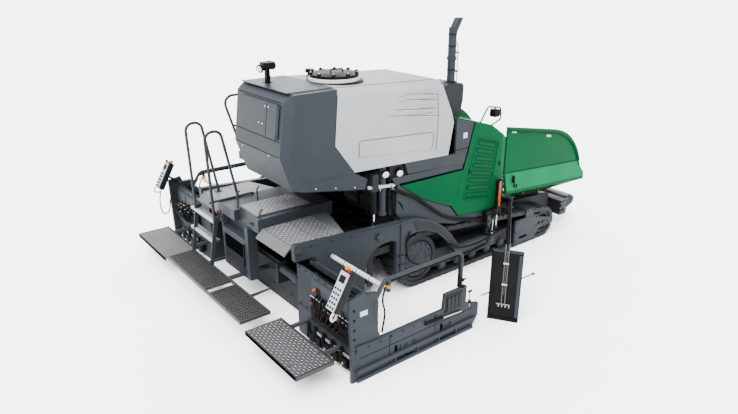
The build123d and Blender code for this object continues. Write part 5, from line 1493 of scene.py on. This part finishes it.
# ---------------------------------------------------------------- screed extensions
@dataclass
class Extension:
    """Trim of one screed extension with its end plate, walkway, console and valve gear."""

    name: str
    sign: int
    rear_wall: float = 757.0
    console_side: float = -2470.0
    plate_face: float = -2540.0
    tray: float = 895.0
    walkway: float = 300.0
    scale: tuple[float, float] = (1220.0, 965.0)
    scale_ends: tuple[float, float] = (-2448.0, -1330.0)

    def build(self) -> None:
        """Make every piece of the extension's trim."""
        self._valves()
        self._console()
        self._end_plate()
        self._end_gear()
        self._scale()
        self._walkway()
        self._frame_bolts()

    def _piece(self, name: str, finish: Finish) -> Piece:
        """Start a piece on this extension, drawn as if on the right."""
        return Piece(f"{name}_{self.name}", finish, f"extension_{self.name}", flip=self.sign > 0)

    def _valves(self) -> None:
        """Housing, valve blocks, pipes and caps behind the extension's rear wall."""
        wall = self.rear_wall
        housing = self._piece("rear_housing", SLATE)
        housing.plate("y", [(742, 700), (728, 716), (728, 868), (738, 900), (wall, 916),
                            (wall, 700)], -2432, -1624)
        housing.done(6)
        panel = self._piece("housing_panels", BLACK)
        panel.box(722, 730, -1820, -1730, 760, 850).box(722, 730, -2130, -2090, 740, 870)
        panel.box(700, wall, -2400, -1640, 380, 470)
        for y in (-2360, -2180, -2000, -1820, -1680):
            panel.box(690, 748, y, y + 90, 70, 190)
            panel.cap((716, y + 130, 90), (716, y + 130, 300), 26, 18, 0.9, 14)
        panel.done(4)
        block = self._piece("valve_block", BLACK)
        block.box(690, wall, -2420, -2180, 500, 690).box(700, wall, -2120, -1900, 520, 690)
        block.box(705, wall, -1840, -1620, 500, 640)
        for index in range(5):
            y = -2400 + index * 165
            block.box(700, wall, y, y + 62, 480, 600 + 40 * (index % 3))
            block.cap((730, y + 100, 480), (730, y + 100, 690), 24, 18, 0.9, 14)
        block.done(5)
        caps = self._piece("valve_caps", CHROME)
        for y in (-2380, -2320, -2260):
            caps.turned((690, y, 660), (664, y, 660), [(0, 18), (0.4, 18), (0.45, 12), (1, 12)], 12)
            caps.cap((690, y, 570), (668, y, 570), 16, 11, 0.5, 6)
        for y in (-2080, -2010, -1940):
            caps.cap((700, y, 650), (676, y, 650), 16, 11, 0.5, 6)
        caps.rod((714, -2440, 702), (714, -1630, 702), 12)
        for z in (216, 240):
            caps.rod((722, -2420, z), (722, -1640, z), 8)
        for y in (-2300, -1940):
            caps.cap((690, y, 130), (672, y, 130), 18, 12, 0.6, 12)
        caps.done()
        self._valve_hoses()
        for label, finish, places in (("amber", ORANGE, ((672, -2210, 660), (700, -1700, 800))),
                                      ("red", RED, ((680, -2040, 640), (690, -1650, 600)))):
            knob = self._piece(f"{label}_caps", finish)
            for x, y, z in places:
                knob.cap((x + 30, y, z), (x, y, z), 20, 14, 0.7, 14)
            knob.done()

    def _valve_hoses(self) -> None:
        """Hoses between the valve blocks and the housing, and one along the open tray."""
        hoses = self._piece("valve_hoses", RUBBER)
        for index in range(5):
            y = -2360 + index * 90
            hoses.hose([(668, y, 650), (624, y - 10, 630), (624, y + 40, 580 - 10 * index),
                        (650, y + 120, 520), (704, y + 190, 500 + 10 * index)], 12, 8)
            y = -2080 + index * 58
            hoses.hose([(680, y, 600), (630, y + 20, 680 - 10 * index), (664, y + 60, 735),
                        (732, y + 90, 760)], 10, 8)
            y = -2420 + index * 130
            hoses.hose([(694, y, 540), (640, y + 30, 600 + 20 * (index % 3)), (632, y + 90, 660),
                        (668, y + 120, 715), (732, y + 150, 740)], 9, 8)
        hoses.hose([(780, -2450, 984), (764, -2300, 986), (772, -2050, 985), (766, -1800, 986),
                    (790, -1640, 984)], 13, 8)
        hoses.done()

    def _console(self) -> None:
        """Face, screen, keys, hook and cable of the outside control box."""
        y = self.console_side
        shell = self._piece("console_shell", PLASTIC)
        shell.plate("y", [(412, 992), (490, 948), (716, 1344), (636, 1392)], y - 92, y + 92).done(14)
        face = self._piece("console_face", PALE)
        face.skin([(408, y - 70, 1004), (408, y + 70, 1004), (624, y + 74, 1378), (624, y - 74, 1378)],
                  [(420, y - 70, 998), (420, y + 70, 998), (636, y + 74, 1372), (636, y - 74, 1372)])
        face.done(4)
        keys = self._piece("console_keys", BLACK)
        for row in range(5):
            for column in range(3):
                x, z = 424 + row * 26, 1032 + row * 45
                keys.cap((x, y - 42 + 42 * column, z), (x - 11, y - 42 + 42 * column, z + 6), 12, 9,
                         0.7, 10)
        keys.skin([(560, y - 46, 1280), (560, y + 46, 1280), (598, y + 46, 1346), (598, y - 46, 1346)],
                  [(572, y - 46, 1274), (572, y + 46, 1274), (610, y + 46, 1340), (610, y - 46, 1340)])
        keys.done()
        hook = self._piece("console_hook", WHITE_AND_HIGHLIGHT)
        hook.pipe([(420, y - 60, 990), (380, y - 66, 950), (392, y - 60, 900), (450, y - 40, 890),
                   (486, y - 20, 930)], 13, 30, 10).done()
        cap = self._piece("console_cap", YELLOW)
        cap.turned((676, y + 40, 1372), (690, y + 40, 1410), [(0, 26), (0.6, 30), (1, 18)], 16).done()
        stop = self._piece("console_stop", RED)
        stop.turned((640, y - 50, 1388), (650, y - 50, 1410), [(0, 18), (0.6, 20), (1, 12)], 14).done()
        cable = self._piece("console_cable", RUBBER)
        if self.sign > 0:
            cable.hose([(500, y - 60, 960), (462, y - 66, 800), (452, y - 60, 640), (480, y - 50, 520),
                        (540, y - 40, 500), (590, y - 30, 580), (610, y - 10, 740), (660, y + 40, 860)],
                       10, 8)
        else:
            cable.hose([(520, y, 1000), (590, y + 20, 900), (640, y + 60, 780), (680, y + 100, 760),
                        (720, y + 90, 700)], 11, 8)
        cable.done()

    def _end_plate(self) -> None:
        """Bolts, ribs, painted shade in the slots, links, seams and doublers of the end plate."""
        face = self.plate_face
        bolts = self._piece("end_plate_bolts", BLACK)
        bolts.bolts([(x, face, 405) for x in range(700, 2400, 170)]
                    + [(680, face, 560 + 120 * k) for k in range(4)]
                    + [(2100 + 95 * k, face, 600) for k in range(3)], RIGHT, 12, 10).done()
        ribs = self._piece("end_plate_ribs", SLATE)
        ribs.plate("y", [(700, 110), (2560, 110), (2600, 160), (700, 160)], -2571, face + 1)
        ribs.plate("y", [(700, 440), (1040, 440), (1040, 452), (700, 470)], -2560, face + 1)
        for x in (1250, 1600, 1950, 2250):
            ribs.box(x, x + 16, -2568, face + 1, 44, 112)
        ribs.done(2)
        # painted shade in the end plate's slots
        pockets = self._piece("end_plate_pocket_shade", DARK_JOINTS_AND_SHADE)
        for x0, x1, z0, z1 in ((1258, 1296, 168, 250), (1258, 1560, 46, 62), (1430, 1450, 62, 106),
                               (1990, 2030, 168, 262), (2150, 2172, 168, 236), (1990, 2240, 46, 58)):
            pockets.box(x0, x1, face - 2, face + 2, z0, z1)
        pockets.done()
        innards = self._piece("end_plate_innards", SLATE_DARK)
        for x in (1320, 1410, 1540, 2056, 2130):
            innards.turned((x, face, 196), (x, face - 12, 196), [(0, 20), (0.7, 18), (1, 10)], 14)
            innards.box(x + 26, x + 40, face - 10, face + 1, 164, 224)
        for x0, x1 in ((1310, 1500), (2046, 2150)):
            innards.rod((x0, face - 6, 84), (x1, face - 6, 98), 9)
        innards.done(2)
        seams = self._piece("end_plate_seams", DARK_JOINTS_AND_SHADE)
        seams.box(760, 2560, face - 1.5, face + 2, 286, 292)
        seams.box(1180, 1186, face - 1.5, face + 2, 44, 440)
        seams.box(1900, 1906, face - 1.5, face + 2, 44, 440).done()
        doubler = self._piece("end_plate_doublers", SLATE)
        doubler.plate("y", [(690, 300), (1120, 300), (1120, 436), (1060, 436), (700, 436)], face - 6,
                      face + 1)
        doubler.box(1200, 1880, face - 5, face + 1, 306, 430)
        doubler.box(986, 1046, -2498, -2428, 425, 1000).done(3)

    def _end_gear(self) -> None:
        """Cylinder, valves, height spindle and bare label of the end plate."""
        face, y = self.plate_face, self.plate_face + 5
        cylinder = self._piece("end_plate_cylinder", CHROME)
        cylinder.rod((2010, face - 17, 352), (2330, face - 17, 330), 12).done()
        barrel = self._piece("end_plate_barrel", BLACK)
        barrel.turned((1720, face - 18, 372), (2015, face - 18, 352),
                      [(0, 18), (0.05, 22), (0.95, 22), (1, 16)], 18)
        barrel.done()
        stack = self._piece("end_plate_valves", SLATE_DARK)
        for index in range(4):
            stack.box(2086 + 64 * index, 2140 + 64 * index, face - 24, face + 1, 400, 590)
        stack.box(2070, 2350, face - 12, face + 1, 590, 620).done(4)
        spindle = self._piece("height_spindle", CHROME)
        spindle.rod((2350, y, 640), (2350, y, 742), 11)
        spindle.rod((2500, y, 330), (2500, y, 540), 9).done()
        handle = self._piece("spindle_handle", BLACK)
        handle.turned((2350, y, 650), (2350, y, 690), [(0, 26), (0.5, 26), (0.55, 18), (1, 18)], 16)
        handle.turned((2350, y, 735), (2350, y, 775), [(0, 14), (0.3, 24), (0.8, 24), (1, 12)], 16)
        handle.rod((2290, y, 752), (2410, y, 752), 11)
        handle.rod((2470, y, 545), (2530, y, 545), 13)
        handle.cone((2500, y, 380), (2500, y, 420), 20, 20, 14).done()
        self._piece("bare_label", WHITE_AND_HIGHLIGHT).box(760, 860, face - 3, face + 1, 820, 880).done(1)

    def _scale(self) -> None:
        """White tube with its ticks and yellow knob, and the hoses along the hoop."""
        knob = self._piece("scale_knob", YELLOW)
        knob.turned((1220, -2462, 985), (1220, -2462, 1029), [(0, 20), (0.4, 34), (0.8, 34), (1, 22)], 16)
        knob.done()
        (x, z), (outer, inner) = self.scale, self.scale_ends
        self._piece("scale_tube", WHITE_AND_HIGHLIGHT).cone((x, outer, z), (x, inner, z), 30, 30, 24).done()
        ticks = self._piece("scale_ticks", BLACK)
        for index in range(17):
            y, width = outer + 58 + index * 62, 5 if index % 4 else 14
            ticks.cone((x, y, z), (x, y + width, z), 30.8, 30.8, 24)
        ticks.done()
        hose = self._piece("hoop_hose", RUBBER)
        hose.hose([(1030, -2466, 866), (1100, -2466, 985), (1190, -2466, 1064), (1800, -2466, 1070),
                   (2290, -2466, 1068), (2344, -2466, 1010), (2348, -2468, 800), (2330, -2480, 640)],
                  14, 8)
        hose.hose([(1180, -2452, 1010), (1130, -2470, 860), (1150, -2486, 700), (1110, -2488, 470)], 11, 8)
        hose.done()

    def _walkway(self) -> None:
        """Chequer lozenges and bolts of the walkway plate."""
        self._piece("walkway_studs", STUD).studs(12, 482, -2395, -1275, self.walkway, 38).done()
        rim = self._piece("walkway_rims", SLATE_DARK)
        rim.box(484, 500, -2410, -1262, 298, 308).box(0, 500, -2410, -2398, 298, 306)
        rim.box(0, 8, -2410, -1262, 250, 303).done(2)
        bolts = self._piece("walkway_bolts", STEEL)
        bolts.bolts([(x, y, self.walkway) for x in (60, 440) for y in (-2190, -1480)], UP, 10, 7).done()

    def _frame_bolts(self) -> None:
        """Bolts, painted shade in the open tray and pipe of the extension's frame."""
        bolts = self._piece("extension_bolts", BLACK)
        bolts.bolts([(760, y, z) for y in range(-2440, -1300, 140) for z in (450, 945)], BACK, 10, 8)
        bolts.bolts([(750, y, 220) for y in range(-2440, -1300, 190)], BACK, 12, 9).done()
        # painted shade in the open tray
        self._piece("extension_tray_shade", DARK_JOINTS_AND_SHADE).box(790, 945, -2430, -1280, self.tray, self.tray + 6).done()
        lines = self._piece("extension_pipes", CHROME)
        lines.pipe([(752, -2460, 380), (742, -2400, 372), (742, -1680, 372), (752, -1620, 380)], 9, 20, 8)
        lines.done()


# ---------------------------------------------------------------- studio
@dataclass
class Studio:
    """Floor, lights and camera."""

    rear: float
    camera_station: float = -2.749
    camera_side: float = -7.178
    camera_height: float = 4.35
    camera_tilt: float = 68.82
    camera_turn: float = -38.05
    lens: float = 30.24
    floor_half: float = 400.0
    floor_drop: float = 0.0005
    sky: float = 3.4
    key: float = 10.5

    def build(self) -> None:
        """Make the floor, the lights and the camera."""
        self._floor()
        self._lights()
        self._camera()

    def _floor(self) -> None:
        """Plain pale floor, marked as not part of the machine."""
        mesh = bpy.data.meshes.new("floor")
        h = self.floor_half
        mesh.from_pydata([(-h, -h, 0), (h, -h, 0), (h, h, 0), (-h, h, 0)], [], [(0, 1, 2, 3)])
        floor = bpy.data.objects.new("floor", mesh)
        floor.location.z = -self.floor_drop
        bpy.context.scene.collection.objects.link(floor)
        graph = Graph("studio floor")
        tone = graph.mix(graph.ramp(graph.noise(0.6, 3.0), 0.3, 0.7), (0.86, 0.86, 0.86),
                         (0.90, 0.90, 0.90))
        graph.link(tone, graph.shader.inputs["Base Color"])
        graph.shader.inputs["Roughness"].default_value = 0.85
        mesh.materials.append(graph.material)
        floor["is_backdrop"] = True

    def _lights(self) -> None:
        """One pale sky and two very soft lights from afar."""
        world = bpy.data.worlds.new("studio")
        bpy.context.scene.world = world
        world.use_nodes = True
        background = world.node_tree.nodes["Background"]
        background.inputs["Color"].default_value = (0.97, 0.985, 1.0, 1.0)
        background.inputs["Strength"].default_value = self.sky
        for name, place, spread, power in (("key", (-6.0, -3.0, 10.0), 50.0, self.key),
                                           ("rim", (6.0, 8.0, 9.0), 60.0, self.key * 0.35)):
            data = bpy.data.lights.new(name, "SUN")
            data.angle = math.radians(spread)
            data.energy = power
            lamp = bpy.data.objects.new(name, data)
            lamp.location = place
            lamp.rotation_euler = (-Vector(place)).to_track_quat("-Z", "Y").to_euler()
            bpy.context.scene.collection.objects.link(lamp)

    def _camera(self) -> None:
        """Camera behind and to the right of the machine, looking forward across it."""
        data = bpy.data.cameras.new("camera")
        data.lens = self.lens
        data.sensor_width = 36.0
        data.clip_end = 200.0
        camera = bpy.data.objects.new("camera", data)
        camera.location = (self.camera_station + self.rear, self.camera_side, self.camera_height)
        camera.rotation_euler = (math.radians(self.camera_tilt), 0.0, math.radians(self.camera_turn))
        bpy.context.scene.collection.objects.link(camera)
        bpy.context.scene.camera = camera


def main() -> None:
    """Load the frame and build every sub-assembly."""
    logging.basicConfig(level=logging.INFO, format="%(name)s: %(message)s")
    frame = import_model()
    cad_low, cad_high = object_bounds()
    rear = cad_low[0]
    for name, node in frame["nodes"].items():
        node.data.materials.clear()
        node.data.materials.append(NODE_FINISH[name].material())
        soften(node, NODE_BEVEL.get(name, PLAIN_BEVEL))
        LOG.info("dressed %s", name)
    for group in (Tank(), Hood(), Manifold(), Platform(), Hopper(), Undercarriage(), Levelling(),
                  SprayBoard("right", -1), SprayBoard("left", 1), Screed(), Extension("right", -1),
                  Extension("left", 1)):
        LOG.info("building %s", type(group).__name__)
        group.build()
    Studio(rear).build()


if __name__ == "__main__":
    main()
